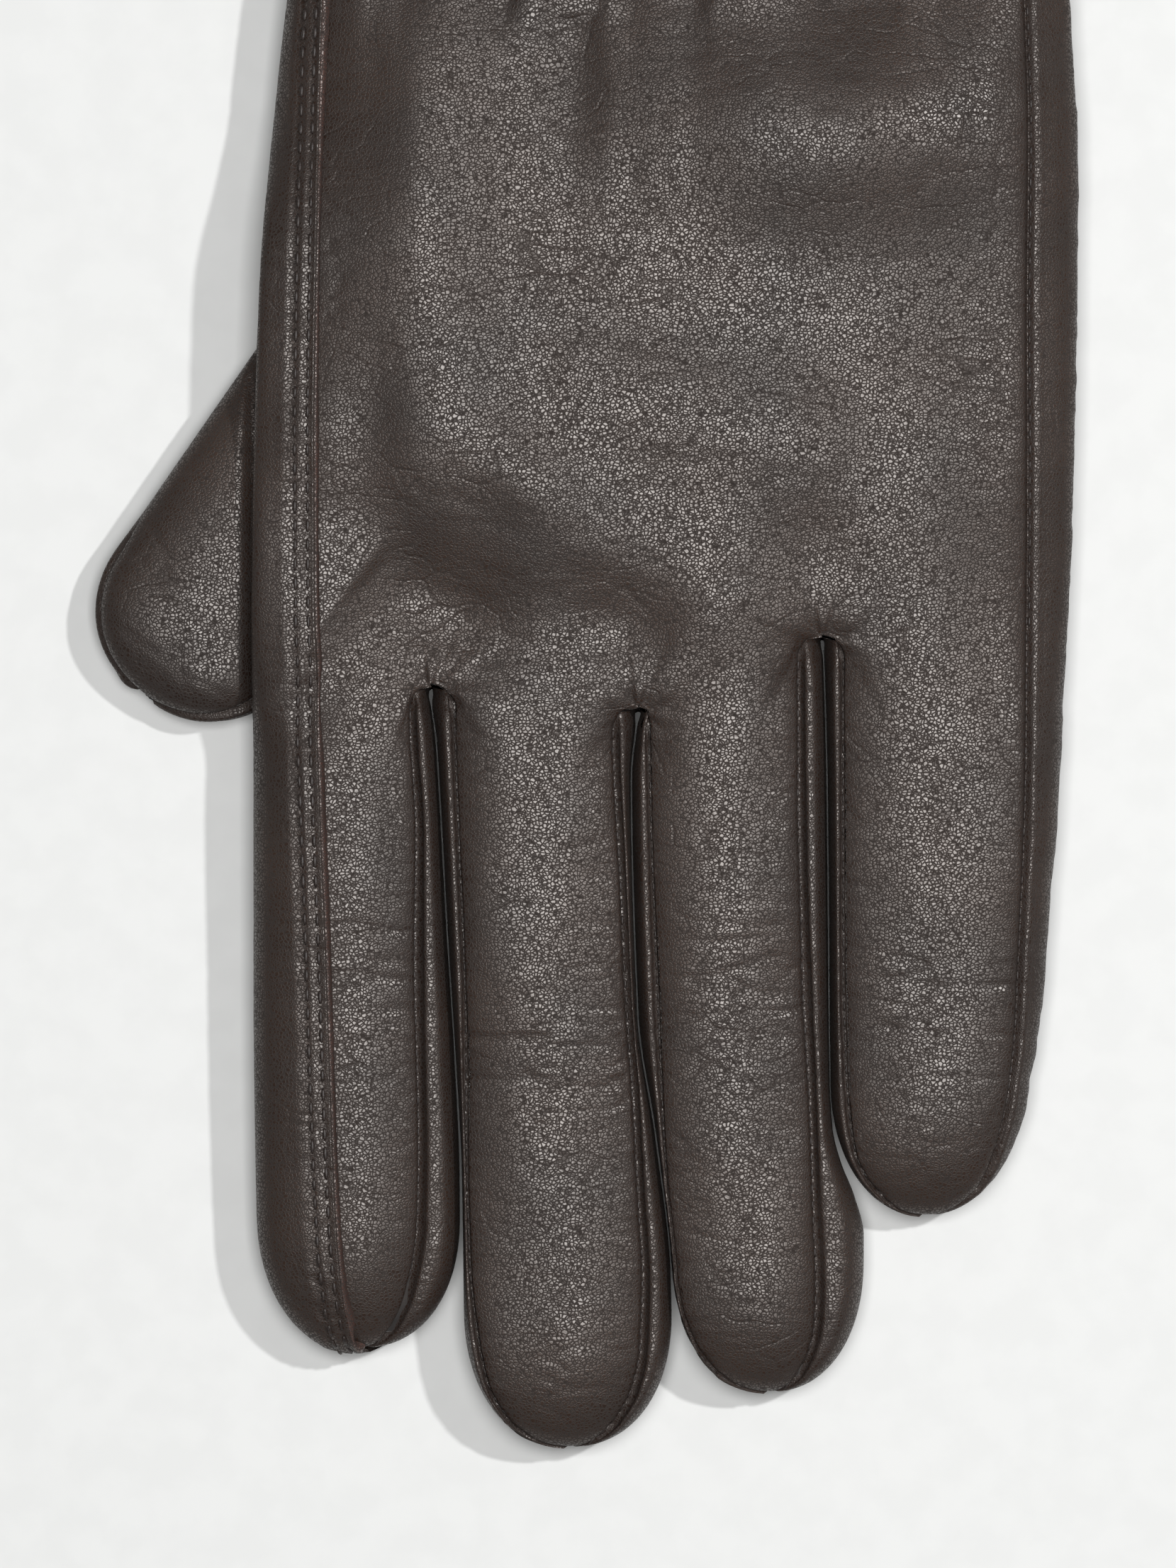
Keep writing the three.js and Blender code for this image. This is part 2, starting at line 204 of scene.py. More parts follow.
@dataclass
class HandForm:
    """The hand and cuff: outlines, heights, and the room under the palm for the thumb."""

    left_line: list[tuple[float, float]]
    right_line: list[tuple[float, float]]
    lap_line: list[tuple[float, float]]
    side_seam_line: list[tuple[float, float]]
    height_at_palm: float = 16.0
    height_at_fingers: float = 13.6
    lift: float = 10.7
    thumb_root: tuple[float, float] = (0.0, 0.0)
    thumb_turn: float = 0.0
    thumb_swing: float = 0.0
    thumb_reach: float = 40.5
    thumb_half: float = 13.45
    overhang: float = 1.2
    swells: list[tuple[float, float, float, float, float, float]] = field(default_factory=list)

    def __post_init__(self) -> None:
        """Makes the outlines' smooth lines."""
        self.left = smooth_line(self.left_line)
        self.right = smooth_line(self.right_line)
        self.lap = smooth_line(self.lap_line)
        self.side_seam = smooth_line(self.side_seam_line)

    def section(self, y: Array, knuckle: float) -> Section:
        """The hand's section at each row."""
        left, right = self.left(y), self.right(y)
        high = mix(self.height_at_fingers, self.height_at_palm, ease((y - knuckle) / -knuckle))
        return Section((left + right) / 2, (right - left) / 2, np.zeros_like(y), high)

    def palm_lift(self, x: Array, y: Array) -> Array:
        """How far the palm is lifted at a place: over the whole sweep of the thumb."""
        nearest = np.full(np.shape(x), 1e9)
        for swing in np.linspace(0.0, self.thumb_swing, 5):
            turn = self.thumb_turn - swing
            dx, dy = math.sin(turn), -math.cos(turn)
            px, py = x - self.thumb_root[0], y - self.thumb_root[1]
            t = np.clip(px * dx + py * dy, 0.0, self.thumb_reach)
            nearest = np.minimum(nearest, np.hypot(px - t * dx, py - t * dy))
        beyond = nearest - self.thumb_half + self.overhang
        reach = mix(6.9, 20.0, ease((y + 24.0) / 24.0))
        return self.lift * (1.0 - ease(beyond / reach))

    def swell(self, x: Array, y: Array) -> Array:
        """Soft rises and hollows of the back: each is (x, y, width, length, turn in degrees, height)."""
        total = np.zeros(np.shape(x))
        for cx, cy, width, length, turn, height in self.swells:
            a = math.radians(turn)
            u = (x - cx) * math.cos(a) + (y - cy) * math.sin(a)
            v = -(x - cx) * math.sin(a) + (y - cy) * math.cos(a)
            total += height * np.exp(-((u / width) ** 2) - (v / length) ** 2)
        return total


@dataclass
class Crotch:
    """The gap between two fingers: its line up over the hand, and the point where it begins."""

    line: list[tuple[float, float]]
    top: float

    def __post_init__(self) -> None:
        """Makes the gap's smooth line."""
        self.x = smooth_line(self.line)


class Side(Enum):
    """The two sides of a finger, named by the way they face."""

    LEFT = "left"
    RIGHT = "right"


@dataclass
class FingerForm:
    """One finger: its outlines, where its seams run, its tip and the gaps beside it."""

    name: str
    left_line: list[tuple[float, float]]
    right_line: list[tuple[float, float]]
    left_seam: list[tuple[float, float]]
    right_seam: list[tuple[float, float]]
    tip: float
    round: float
    left_gap: Crotch | None
    right_gap: Crotch | None
    side_nodes: tuple[str, str]
    creases_at: list[float]
    root_height: float = 13.6
    tip_height: float = 12.0
    tip_round_height: float = 15.0
    top_power: float = 3.1
    crown: float = 0.25
    seed: int = 1

    def section(self, y: Array, knuckle: float) -> Section:
        """The finger's section at each row."""
        left, right = smooth_line(self.left_line)(y), smooth_line(self.right_line)(y)
        height = mix(self.tip_height, self.root_height, ease((y - self.tip) / (knuckle - self.tip)))
        flat = rounded_off(self.tip + self.tip_round_height - y, self.tip_round_height)
        half = (right - left) / 2 * rounded_off(self.tip + self.round - y, self.round)
        return Section((left + right) / 2, half, height / 2 * (1 - flat), height / 2 * (1 + flat), self.top_power)

    def seam_ratio(self, line: list[tuple[float, float]], y: Array, section: Section) -> Array:
        """A seam's place at each row, as a share of the half width, held steady round the tip."""
        ratio = (smooth_line(line)(y) - section.centre) / np.maximum(section.half, 1e-6)
        steady = np.interp(self.tip + 2.2, y[::-1], ratio[::-1])
        return np.clip(np.where(y < self.tip + 2.2, steady, ratio), -0.965, 0.965)


# ---------------------------------------------------------------------------
# Rings: the skin of one finger and of the hand above it, as a grid
# ---------------------------------------------------------------------------


@dataclass(frozen=True)
class Columns:
    """How many columns each panel of a ring has."""

    back: int = 66
    wall: int = 36
    palm: int = 24


@dataclass
class Ring:
    """A skin as a grid of points, rows along Y and columns round the section, cut into panels."""

    y: Array
    points: Array
    panels: dict[str, slice]
    pucker: Array | None = None
    normals: Array | None = None

    def panel(self, name: str) -> Array:
        """The points of one panel."""
        return self.points[:, self.panels[name]]


def crowded(count: int, start: float, end: float) -> Array:
    """Shares from 0 to 1 that crowd at either end as asked.

    Args:
        count: how many shares.
        start: 0 for even spacing at the start, towards 1 to crowd there.
        end: the same at the end.

    Returns:
        The shares.
    """
    t = np.linspace(0.0, 1.0, count)
    gaps = 1.0 - start * np.exp(-t * 7.0) - end * np.exp(-(1.0 - t) * 7.0)
    total = np.concatenate([[0.0], np.cumsum((gaps[1:] + gaps[:-1]) / 2)])
    return total / total[-1]


def finger_rows(finger: FingerForm, cuff: float) -> Array:
    """The rows of a ring from the cuff to the fingertip, finer on the finger and finest at its tip."""
    hand = np.arange(cuff, LEATHER_SPLIT_Y, -0.7)
    shaft = np.arange(LEATHER_SPLIT_Y, finger.tip + finger.round, -0.4)
    tip_turns = np.linspace(0.0, math.pi / 2, 54)
    tip = finger.tip + finger.round * (1.0 - np.sin(tip_turns) * 0.9995)
    return np.concatenate([hand, shaft, tip])


def rolled_wall(section: Section, wall: Array, seam_ratio: Array, crown: float) -> Array:
    """Heights of a finger's inner wall, which rolls out level from its seam before it drops.

    Args:
        section: the finger's section.
        wall: points of the wall, rows by columns by 3.
        seam_ratio: the seam's share of the half width at each row.
        crown: how far the back falls from its middle to the seam, as a share of half the height.

    Returns:
        The wall's new heights, unchanged below the widest place.
    """
    low, high = section.low[:, None], section.high[:, None]
    seam = np.abs(seam_ratio)[:, None]
    ratio = np.abs(wall[..., 0] - section.centre[:, None]) / np.maximum(section.half, 1e-6)[:, None]
    out = np.clip((ratio - seam) / np.maximum(1.0 - seam, 1e-6), 0.0, 1.0)
    middle, rise, sink = 0.42, 0.055, 0.06
    before = np.sqrt(1.0 - np.clip((middle - out) / middle, 0.0, 1.0) ** 2)
    after = np.sqrt(1.0 - np.clip((out - middle) / (1.0 - middle), 0.0, 1.0) ** 2)
    top = 1.0 - crown + rise
    up = np.where(out < middle, top - (rise + sink) * (1.0 - before), top * after)
    rolled = mix(low, high, (up + 1.0) / 2.0)
    return np.where(wall[..., 2] > (low + high) / 2, rolled, wall[..., 2])


def crowned_back(section: Section, back: Array, seam_ratio: Array, crown: float) -> Array:
    """Heights of a finger's back, gently crowned from its middle to an inner seam.

    Args:
        section: the finger's section.
        back: points of the back panel, rows by columns by 3.
        seam_ratio: the seam's signed share of the half width at each row.
        crown: how far it falls to the seam, as a share of half the height.

    Returns:
        The back's new heights, unchanged on the other half.
    """
    ratio = (back[..., 0] - section.centre[:, None]) / np.maximum(section.half, 1e-6)[:, None]
    share = ratio / seam_ratio[:, None]
    up = 1.0 - crown * np.clip(share, 0.0, 1.0) ** 2
    crowned = mix(section.low[:, None], section.high[:, None], (up + 1.0) / 2.0)
    return np.where(share > 0, crowned, back[..., 2])


def base_ring(hand: HandForm, finger: FingerForm, cuff: float, knuckle: float, n: Columns) -> Ring:
    """Builds a finger's smooth skin and the part of the hand that continues it up to the cuff.

    Args:
        hand: the form of the hand.
        finger: the form of the finger.
        cuff: where the rows begin.
        knuckle: where the finger bends from the hand.
        n: how many columns each panel has.

    Returns:
        The ring, whose panels are right, back, left and palm.
    """
    y = finger_rows(finger, cuff)
    section = finger.section(y, knuckle)
    hand_section = hand.section(y, knuckle)
    right_ratio = finger.seam_ratio(finger.right_seam, y, section)
    left_ratio = finger.seam_ratio(finger.left_seam, y, section)
    right_turn, left_turn = section.turn_at(right_ratio), section.turn_at(left_ratio)
    below_left = math.pi + SIDE_SEAM_BELOW
    below_right = 2 * math.pi - SIDE_SEAM_BELOW

    shares = {
        "right": crowded(n.wall, 0.2, 0.75)[:-1],
        "back": crowded(n.back, 0.6, 0.6)[:-1],
        "left": crowded(n.wall, 0.75, 0.2)[:-1],
        "palm": crowded(n.palm, 0.3, 0.3),
    }
    limits = {
        "right": (np.full_like(y, -SIDE_SEAM_BELOW), right_turn),
        "back": (right_turn, left_turn),
        "left": (left_turn, np.full_like(y, below_left)),
        "palm": (np.full_like(y, below_left), np.full_like(y, below_right)),
    }
    turns = [mix(a[:, None], b[:, None], shares[k][None]) for k, (a, b) in limits.items()]
    on_finger = section.at(np.concatenate(turns, 1), y)
    first = 0
    for name, share in shares.items():
        columns = slice(first, first + len(share))
        first += len(share)
        skin = on_finger[:, columns]
        for ratio, gap, side in ((right_ratio, finger.right_gap, "right"), (left_ratio, finger.left_gap, "left")):
            if gap and name in ("back", side):
                shaper = crowned_back if name == "back" else rolled_wall
                skin[..., 2] = shaper(section, skin, ratio, finger.crown)

    on_hand, open_at, open_over, sink_at, sink_over = [], [], [], [], []
    gap_x = {
        Side.LEFT: finger.left_gap.x(y) if finger.left_gap else None,
        Side.RIGHT: finger.right_gap.x(y) if finger.right_gap else None,
    }
    gap_top = {
        Side.LEFT: (finger.left_gap or finger.right_gap).top,
        Side.RIGHT: (finger.right_gap or finger.left_gap).top,
    }

    def bound(side: Side, upper: bool) -> Array:
        """Where the hand's back or palm ends beside this finger."""
        if gap_x[side] is not None:
            return gap_x[side]
        if upper:
            return hand.lap(y) if side is Side.LEFT else hand.side_seam(y)
        sign = -1 if side is Side.LEFT else 1
        return hand_section.centre + sign * 0.924 * hand_section.half

    def across(x: Array, upper: bool) -> Array:
        """Points of the hand's back or palm at given places across."""
        ratio = np.clip((x - hand_section.centre[:, None]) / hand_section.half[:, None], -0.9995, 0.9995)
        power = TOP_POWER if upper else SOLE_POWER
        up = (1.0 - np.abs(ratio) ** power) ** (1.0 / power)
        if not upper:
            up = np.maximum(-1.0, -SOLE_FLATNESS * up)
        yy = np.broadcast_to(y[:, None], x.shape)
        raised = hand.palm_lift(x, yy)
        high = np.broadcast_to(hand_section.high[:, None], x.shape)
        return np.stack([x, yy, mix(raised, high, (up + 1) / 2)], -1)

    for name in shares:
        share = shares[name][None]
        if name in ("back", "palm"):
            upper = name == "back"
            first, last = (Side.RIGHT, Side.LEFT) if upper else (Side.LEFT, Side.RIGHT)
            x = mix(bound(first, upper)[:, None], bound(last, upper)[:, None], share)
            on_hand.append(across(x, upper))
            edge = np.minimum(share, 1.0 - share) * 22.0
            if finger.left_gap is None:
                edge = (share if upper else 1.0 - share) * 22.0
            if finger.right_gap is None:
                edge = (1.0 - share if upper else share) * 22.0
            inward, sinking = ease(edge / 9.0), ease(np.maximum(edge, 3.0) / 9.0)
            top = mix(gap_top[first], gap_top[last], ease(share))
            open_at.append(np.broadcast_to(top + 0.6 + 11.0 * inward, share.shape))
            open_over.append(np.broadcast_to(3.0 + 22.0 * inward, share.shape))
            sink_at.append(np.broadcast_to(top + 0.6 + 11.0 * sinking, share.shape))
            sink_over.append(np.broadcast_to(3.0 + 22.0 * sinking, share.shape))
            continue
        side = Side(name)
        if gap_x[side] is None:
            edge_x = bound(side, True)
            edge_turn = hand_section.turn_at((edge_x - hand_section.centre) / hand_section.half)
            low_turn = np.full_like(y, below_left if side is Side.LEFT else -SIDE_SEAM_BELOW)
            a, b = (edge_turn, low_turn) if side is Side.LEFT else (low_turn, edge_turn)
            turn = mix(a[:, None], b[:, None], share)
            on_hand.append(hand_section.at(turn, y, hand.palm_lift))
            open_at.append(np.full(share.shape, gap_top[side] + 11.6))
            open_over.append(np.full(share.shape, 25.0))
            sink_at.append(open_at[-1])
            sink_over.append(open_over[-1])
        else:
            x = np.broadcast_to(gap_x[side][:, None], (len(y), share.shape[1]))
            upper_edge, lower_edge = across(x, True), across(x, False)
            down = share if side is Side.LEFT else 1.0 - share
            on_hand.append(mix(upper_edge, lower_edge, down[..., None]))
            open_at.append(np.full(share.shape, gap_top[side] + 0.6))
            open_over.append(np.full(share.shape, 3.0))
            share_sunk = ease(3.0 / 9.0)
            sink_at.append(np.full(share.shape, gap_top[side] + 0.6 + 11.0 * share_sunk))
            sink_over.append(np.full(share.shape, 3.0 + 22.0 * share_sunk))

    hand_points = np.concatenate(on_hand, 1)
    over = np.concatenate(open_over, 1)
    gone = np.clip((np.concatenate(open_at, 1) - y[:, None]) / over, 0.0, 1.0)
    arch = np.sqrt(1.0 - (1.0 - gone) ** 2)
    opening = mix(arch, ease(gone), ease((over - 3.0) / 5.0))
    sinking = ease((np.concatenate(sink_at, 1) - y[:, None]) / np.concatenate(sink_over, 1))
    points = mix(hand_points, on_finger, np.stack([opening, opening, sinking], -1))

    panels, first = {}, 0
    for name in shares:
        size = shares[name].shape[0]
        panels[name] = slice(first, first + size + (0 if name == "palm" else 1))
        first += size
    return Ring(y, points, panels)


def normals_of(points: Array) -> Array:
    """Unit normals of a grid of points, from its neighbours along rows and columns."""
    along = np.gradient(points, axis=0)
    across = np.gradient(points, axis=1)
    normal = np.cross(across, along)
    return normal / np.maximum(np.linalg.norm(normal, axis=-1, keepdims=True), 1e-12)


def ring_normals(ring: Ring, gaps: tuple[Crotch | None, Crotch | None]) -> Array:
    """Outward normals of a ring, which ignore the inner walls where two fingers are still one hand.

    Args:
        ring: the ring.
        gaps: the gaps at its left and at its right, or None where it has none.

    Returns:
        A unit normal for each point.
    """
    whole = normals_of(ring.points)
    back = ring.panels["back"]
    facing = np.sign(np.sum(whole[:, back, 2]))
    whole = whole * facing
    for gap, edges in zip(gaps, (("left", -1, 0), ("right", 0, -1))):
        if gap is None:
            continue
        joined = ease((ring.y - gap.top + 1.0) / 1.5)[:, None]
        for name, edge in (("back", edges[1]), ("palm", edges[2])):
            panel = ring.panels[name]
            alone = normals_of(ring.points[:, panel])[:, edge] * facing
            column = panel.start if edge == 0 else panel.stop - 1
            mixed = mix(whole[:, column], alone, joined)
            whole[:, column] = mixed / np.linalg.norm(mixed, axis=-1, keepdims=True)
    return whole


def close_tip(points: Array, normals: Array, facing: Array, row: int = -1) -> None:
    """Draws an end row of a skin together into one point, so that the tip is closed.

    Args:
        points: the skin's points, changed in place.
        normals: its normals, changed in place.
        facing: the way the tip faces.
        row: which row is the end.
    """
    points[row] = points[row].mean(axis=0)
    normals[row] = facing


def meet(left_ring: Ring, right_ring: Ring, gap: Crotch) -> None:
    """Gives two neighbouring rings the same points and normals along the line where they are one hand."""
    count = int(np.sum(left_ring.y > gap.top + 0.2))
    for name, left_edge, right_edge in (("back", "start", "stop"), ("palm", "stop", "start")):
        columns = []
        for ring, edge in ((left_ring, left_edge), (right_ring, right_edge)):
            panel = ring.panels[name]
            columns.append(panel.start if edge == "start" else panel.stop - 1)
        for key in ("points", "normals"):
            a, b = getattr(left_ring, key), getattr(right_ring, key)
            mean = (a[:count, columns[0]] + b[:count, columns[1]]) / 2
            if key == "normals":
                mean = mean / np.linalg.norm(mean, axis=-1, keepdims=True)
            a[:count, columns[0]] = mean
            b[:count, columns[1]] = mean


def arc_from(points: Array, column: int) -> Array:
    """Signed distance over the skin from a column, along each row."""
    steps = np.linalg.norm(np.diff(points, axis=1), axis=-1)
    length = np.concatenate([np.zeros((len(points), 1)), np.cumsum(steps, 1)], 1)
    return length - length[:, column : column + 1]


# ---------------------------------------------------------------------------
# Relief: seams, rolls, creases and folds on the skin
# ---------------------------------------------------------------------------


@dataclass(frozen=True)
class SeamRelief:
    """A sewn seam: a groove, the leather rolling into it, and the roll on its far side."""

    groove: float = 0.65
    groove_width: float = 0.3
    shoulder: float = 0.5
    shoulder_width: float = 1.0
    roll: float = 0.12
    roll_place: float = 0.85
    roll_width: float = 0.5
    ridges: float = 0.1

    def depth(self, distance: Array, panel_sign: int) -> Array:
        """Height change at signed distances from the seam.

        Args:
            distance: signed distance over the skin from the seam.
            panel_sign: 1 if the back panel lies at positive distances, -1 if at negative ones.

        Returns:
            The height change, negative inwards.
        """
        inward = distance * panel_sign
        size = np.abs(distance)
        groove = -self.groove * hump(size, self.groove_width)
        shoulder = -self.shoulder * np.exp(-size / self.shoulder_width)
        roll = self.roll * hump(size - self.roll_place, self.roll_width)
        return groove + np.where(inward > 0, shoulder, roll + 0.3 * shoulder)

    def puckers(self, distance: Array, y: Array, seed: int) -> Array:
        """Small ridges across the seam, where the thread draws the leather together."""
        fine = lattice_noise(distance / 4.0 + 7.0, y / 0.62, seed)
        coarse = lattice_noise(distance / 3.0, y / 1.5, seed + 1)
        return self.ridges * (fine + 0.5 * coarse) * np.exp(-np.abs(distance) / 1.5)


@dataclass
class Relief:
    """Everything that stands proud of, or is pressed into, a ring's smooth skin."""

    hand: HandForm
    finger: FingerForm
    ring: Ring
    knuckle: float
    elastic_y: float
    seam: SeamRelief = SeamRelief()
    lap_height: float = 0.85

    def apply(self) -> Ring:
        """Moves the ring's points along their normals.

        Returns:
            The same ring, with its relief and its pucker mask.
        """
        ring, finger = self.ring, self.finger
        base = ring.points
        x, y, z = base[..., 0], base[..., 1], base[..., 2]
        gaps = (finger.left_gap, finger.right_gap)
        normal = ring_normals(ring, gaps)
        upward = np.clip(normal[..., 2], 0.0, 1.0)
        height = np.zeros(x.shape)
        pucker = np.zeros(x.shape)

        right_seam = ring.panels["back"].start
        left_seam = ring.panels["left"].start
        left_low, right_low = ring.panels["palm"].start, ring.panels["palm"].stop - 1
        edges = [
            (right_seam, 1, self.seam_strength(finger.right_gap, y)),
            (left_seam, -1, self.seam_strength(finger.left_gap, y) * (0.0 if finger.left_gap is None else 1.0)),
            (left_low, 1, self.seam_strength(finger.left_gap, y)),
        ]
        tip_fade = ease((y - finger.tip) / 3.0)
        for column, sign, strength in edges:
            distance = arc_from(base, column)
            height += self.seam.depth(distance, sign) * strength * mix(0.25, 1.0, tip_fade)
            height += self.seam.puckers(distance, y, 310 + column) * strength * tip_fade
            # The mask marks the seam's puckers and where shade is painted beside it.
            pucker = np.maximum(pucker, np.exp(-np.abs(distance) / 2.2) * strength)
        to_low = arc_from(base, right_low)
        low_strength = self.seam_strength(finger.right_gap, y)
        wrap = np.minimum(np.abs(to_low), np.abs(arc_from(base, 0)))
        height += -0.8 * hump(wrap, 0.5) * low_strength * mix(0.2, 1.0, tip_fade)

        if finger.left_gap is None:
            height += self.lap(base, ring, left_seam)
            distance = np.abs(arc_from(base, left_seam))
            # Beside the lapped edge the mask also marks puckers and painted shade.
            pucker = np.maximum(pucker, 0.75 * np.exp(-distance / 5.0))
        if finger.right_gap is None:
            distance = arc_from(base, right_seam)
            side = np.clip(-distance / 6.0, 0.0, 1.0)
            ridges = lattice_noise(x / 9.0, y / 1.9, 71) + 0.6 * lattice_noise(x / 5.0, y / 1.0, 72)
            height += 0.16 * ridges * side * np.exp(-np.abs(distance) / 7.0) * 1.6

        height += upward * self.back_relief(x, y)
        height += self.crotch_relief(x, y, upward)
        moved = normal * height[..., None]
        for gap, name, edge in ((finger.left_gap, "left", left_seam), (finger.right_gap, "right", right_seam)):
            if gap:
                wall = ring.panels[name]
                follow = ease((ring.y - gap.top + 1.5) / 2.0)[:, None, None]
                moved[:, wall] = mix(moved[:, wall], moved[:, edge][:, None], follow)
        ring.points = base + moved
        ring.points[..., 2] = np.maximum(ring.points[..., 2], np.minimum(z, 0.0))
        back = ring.panels["back"]
        least = self.hand.palm_lift(x[:, back], y[:, back]) + 2.6
        above = ring.points[:, back, 2] - least
        softly = least + np.logaddexp(0.0, above * 2.5) / 2.5
        on_hand = ease((y[:, back] - self.knuckle) / 6.0)
        ring.points[:, back, 2] = mix(ring.points[:, back, 2], softly, on_hand)
        ring.pucker = np.clip(pucker, 0.0, 1.0)
        ring.normals = ring_normals(ring, gaps)
        close_tip(ring.points, ring.normals, np.array([0.0, -1.0, 0.0]))
        return ring

    def seam_strength(self, gap: Crotch | None, y: Array) -> Array:
        """How far a seam is sunk along Y: full below its crotch, none above; all along where there is no gap."""
        if gap is None:
            return np.ones(y.shape)
        return ease((gap.top + 0.9 - y) / 2.2)

    def lap(self, base: Array, ring: Ring, column: int) -> Array:
        """The side strip lies over the back panel: its edge stands proud and settles away from it."""
        distance = arc_from(base, column)
        proud = self.lap_height * np.exp(-((distance / 9.0) ** 2))
        rows = -0.3 * (hump(distance - STRIP_ROWS[0], 0.32) + hump(distance - STRIP_ROWS[1], 0.32))
        between = 0.14 * hump(distance - 1.8, 0.5) + 0.1 * hump(distance - 3.6, 0.8)
        y = base[..., 1]
        ridges = lattice_noise(distance / 3.0, y / 0.9, 75) + 0.6 * lattice_noise(distance / 6.0, y / 2.1, 76)
        crossing = creases(distance / 7.0, y / 1.6, 77, 3.0)
        fade = np.exp(-np.maximum(distance - 2.0, 0.0) / 4.0)
        across = (0.07 * ridges - 0.1 * crossing) * fade
        near = -0.15 * np.exp(-np.abs(distance) / 1.2)
        return np.where(distance >= 0, proud + rows + between + across, near)

    def back_relief(self, x: Array, y: Array) -> Array:
        """Swells of the hand's back, folds gathered by the wrist elastic, and bending creases."""
        on_hand = ease((y - self.knuckle) / 20.0)
        total = self.hand.swell(x, y) * np.maximum(on_hand, 0.15)
        gather = np.exp(-np.abs(y - self.elastic_y) / 17.0)
        wave = lattice_noise(x / 5.5, y / 60.0, 21) + 0.55 * lattice_noise(x / 2.6, y / 36.0, 22)
        near_wrist = ease((y - self.elastic_y + 16.0) / 12.0)
        total = total + (0.35 + 1.1 * near_wrist) * gather * wave * on_hand
        floor = -9.0 + 8.5 * ease((16.0 - np.abs(y - self.elastic_y)) / 6.0)
        total = np.maximum(total, floor)
        fine = creases(x / 9.0, y / 2.4, 30, 3.4)
        total = total - 0.08 * fine * mix(0.35, 1.0, ease(lattice_noise(x / 16.0, y / 16.0, 33) + 0.5))
        for place in self.finger.creases_at:
            zone = hump(y - place, 5.5)
            bent = creases(x / 12.0, (y - place) / 2.3 + 4.0, 40, 4.0)
            total = total - zone * (0.16 * bent + 0.08)
        rolling = lattice_noise(x / 7.0, y / 11.0, 50)
        return total + 0.16 * rolling

    def crotch_relief(self, x: Array, y: Array, upward: Array) -> Array:
        """Creases that fan out from the top of each gap, and the dip that the seam pulls there."""
        total = np.zeros(x.shape)
        for gap in (self.finger.left_gap, self.finger.right_gap):
            if gap is None:
                continue
            dx, dy = x - float(gap.x(np.array(gap.top))), y - gap.top
            far = np.hypot(dx, dy)
            angle = np.arctan2(dx, dy)
            broad = lattice_noise(angle * 3.6 + 40.4, far / 14.0, 91)
            fan = broad + 0.6 * lattice_noise(angle * 7.3 + 9.3, far / 9.0, 92)
            above = ease((dy + 3.0) / 3.0)
            total += upward * above * (0.42 * fan * np.exp(-far / 4.5) * ease(far / 2.6) - 0.8 * hump(far, 4.0))
        return total


# ---------------------------------------------------------------------------
# Meshes
# ---------------------------------------------------------------------------


def grid_mesh(name: str, points: Array, normals: Array, masks: dict[str, Array]) -> bpy.types.Object:
    """Makes an open sheet from a grid of points, in millimetres.

    Args:
        name: the object's name.
        points: rows by columns by 3.
        normals: the unit normal at each point, facing out.
        masks: numbers per point to keep as attributes.

    Returns:
        The object, smooth shaded, with its faces pointing the way its normals do.
    """
    rows, columns = points.shape[:2]
    index = np.arange(rows * columns).reshape(rows, columns)
    quads = np.stack([index[:-1, :-1], index[1:, :-1], index[1:, 1:], index[:-1, 1:]], -1).reshape(-1, 4)
    flat = points.reshape(-1, 3)
    first, second = flat[quads[:, 1]] - flat[quads[:, 3]], flat[quads[:, 2]] - flat[quads[:, 0]]
    facing = np.cross(first, second)
    if np.sum(facing * normals.reshape(-1, 3)[quads[:, 0]]) < 0:
        quads = quads[:, ::-1]
    mesh = bpy.data.meshes.new(name)
    mesh.from_pydata((flat * MM).tolist(), [], quads.tolist())
    mesh.polygons.foreach_set("use_smooth", np.ones(len(quads), bool))
    rest = mesh.attributes.new("rest_place", "FLOAT_VECTOR", "POINT")
    rest.data.foreach_set("vector", (flat * MM).astype(np.float32).ravel())
    for key, values in masks.items():
        layer = mesh.attributes.new(key, "FLOAT", "POINT")
        layer.data.foreach_set("value", values.astype(np.float32).ravel())
    mesh.normals_split_custom_set_from_vertices(normals.reshape(-1, 3).tolist())
    made = bpy.data.objects.new(name, mesh)
    bpy.context.scene.collection.objects.link(made)
    return made


def dress(piece: bpy.types.Object, material: bpy.types.Material) -> None:
    """Gives a piece its material."""
    piece.data.materials.clear()
    piece.data.materials.append(material)


def outward(points: Array, toward: Array) -> Array:
    """Normals of a grid, turned so that they point away from a middle point or line."""
    normal = normals_of(points)
    side = np.sum(normal * (points - toward), axis=-1)
    return normal * np.sign(np.sum(side))


# ---------------------------------------------------------------------------
# Finishes
# ---------------------------------------------------------------------------


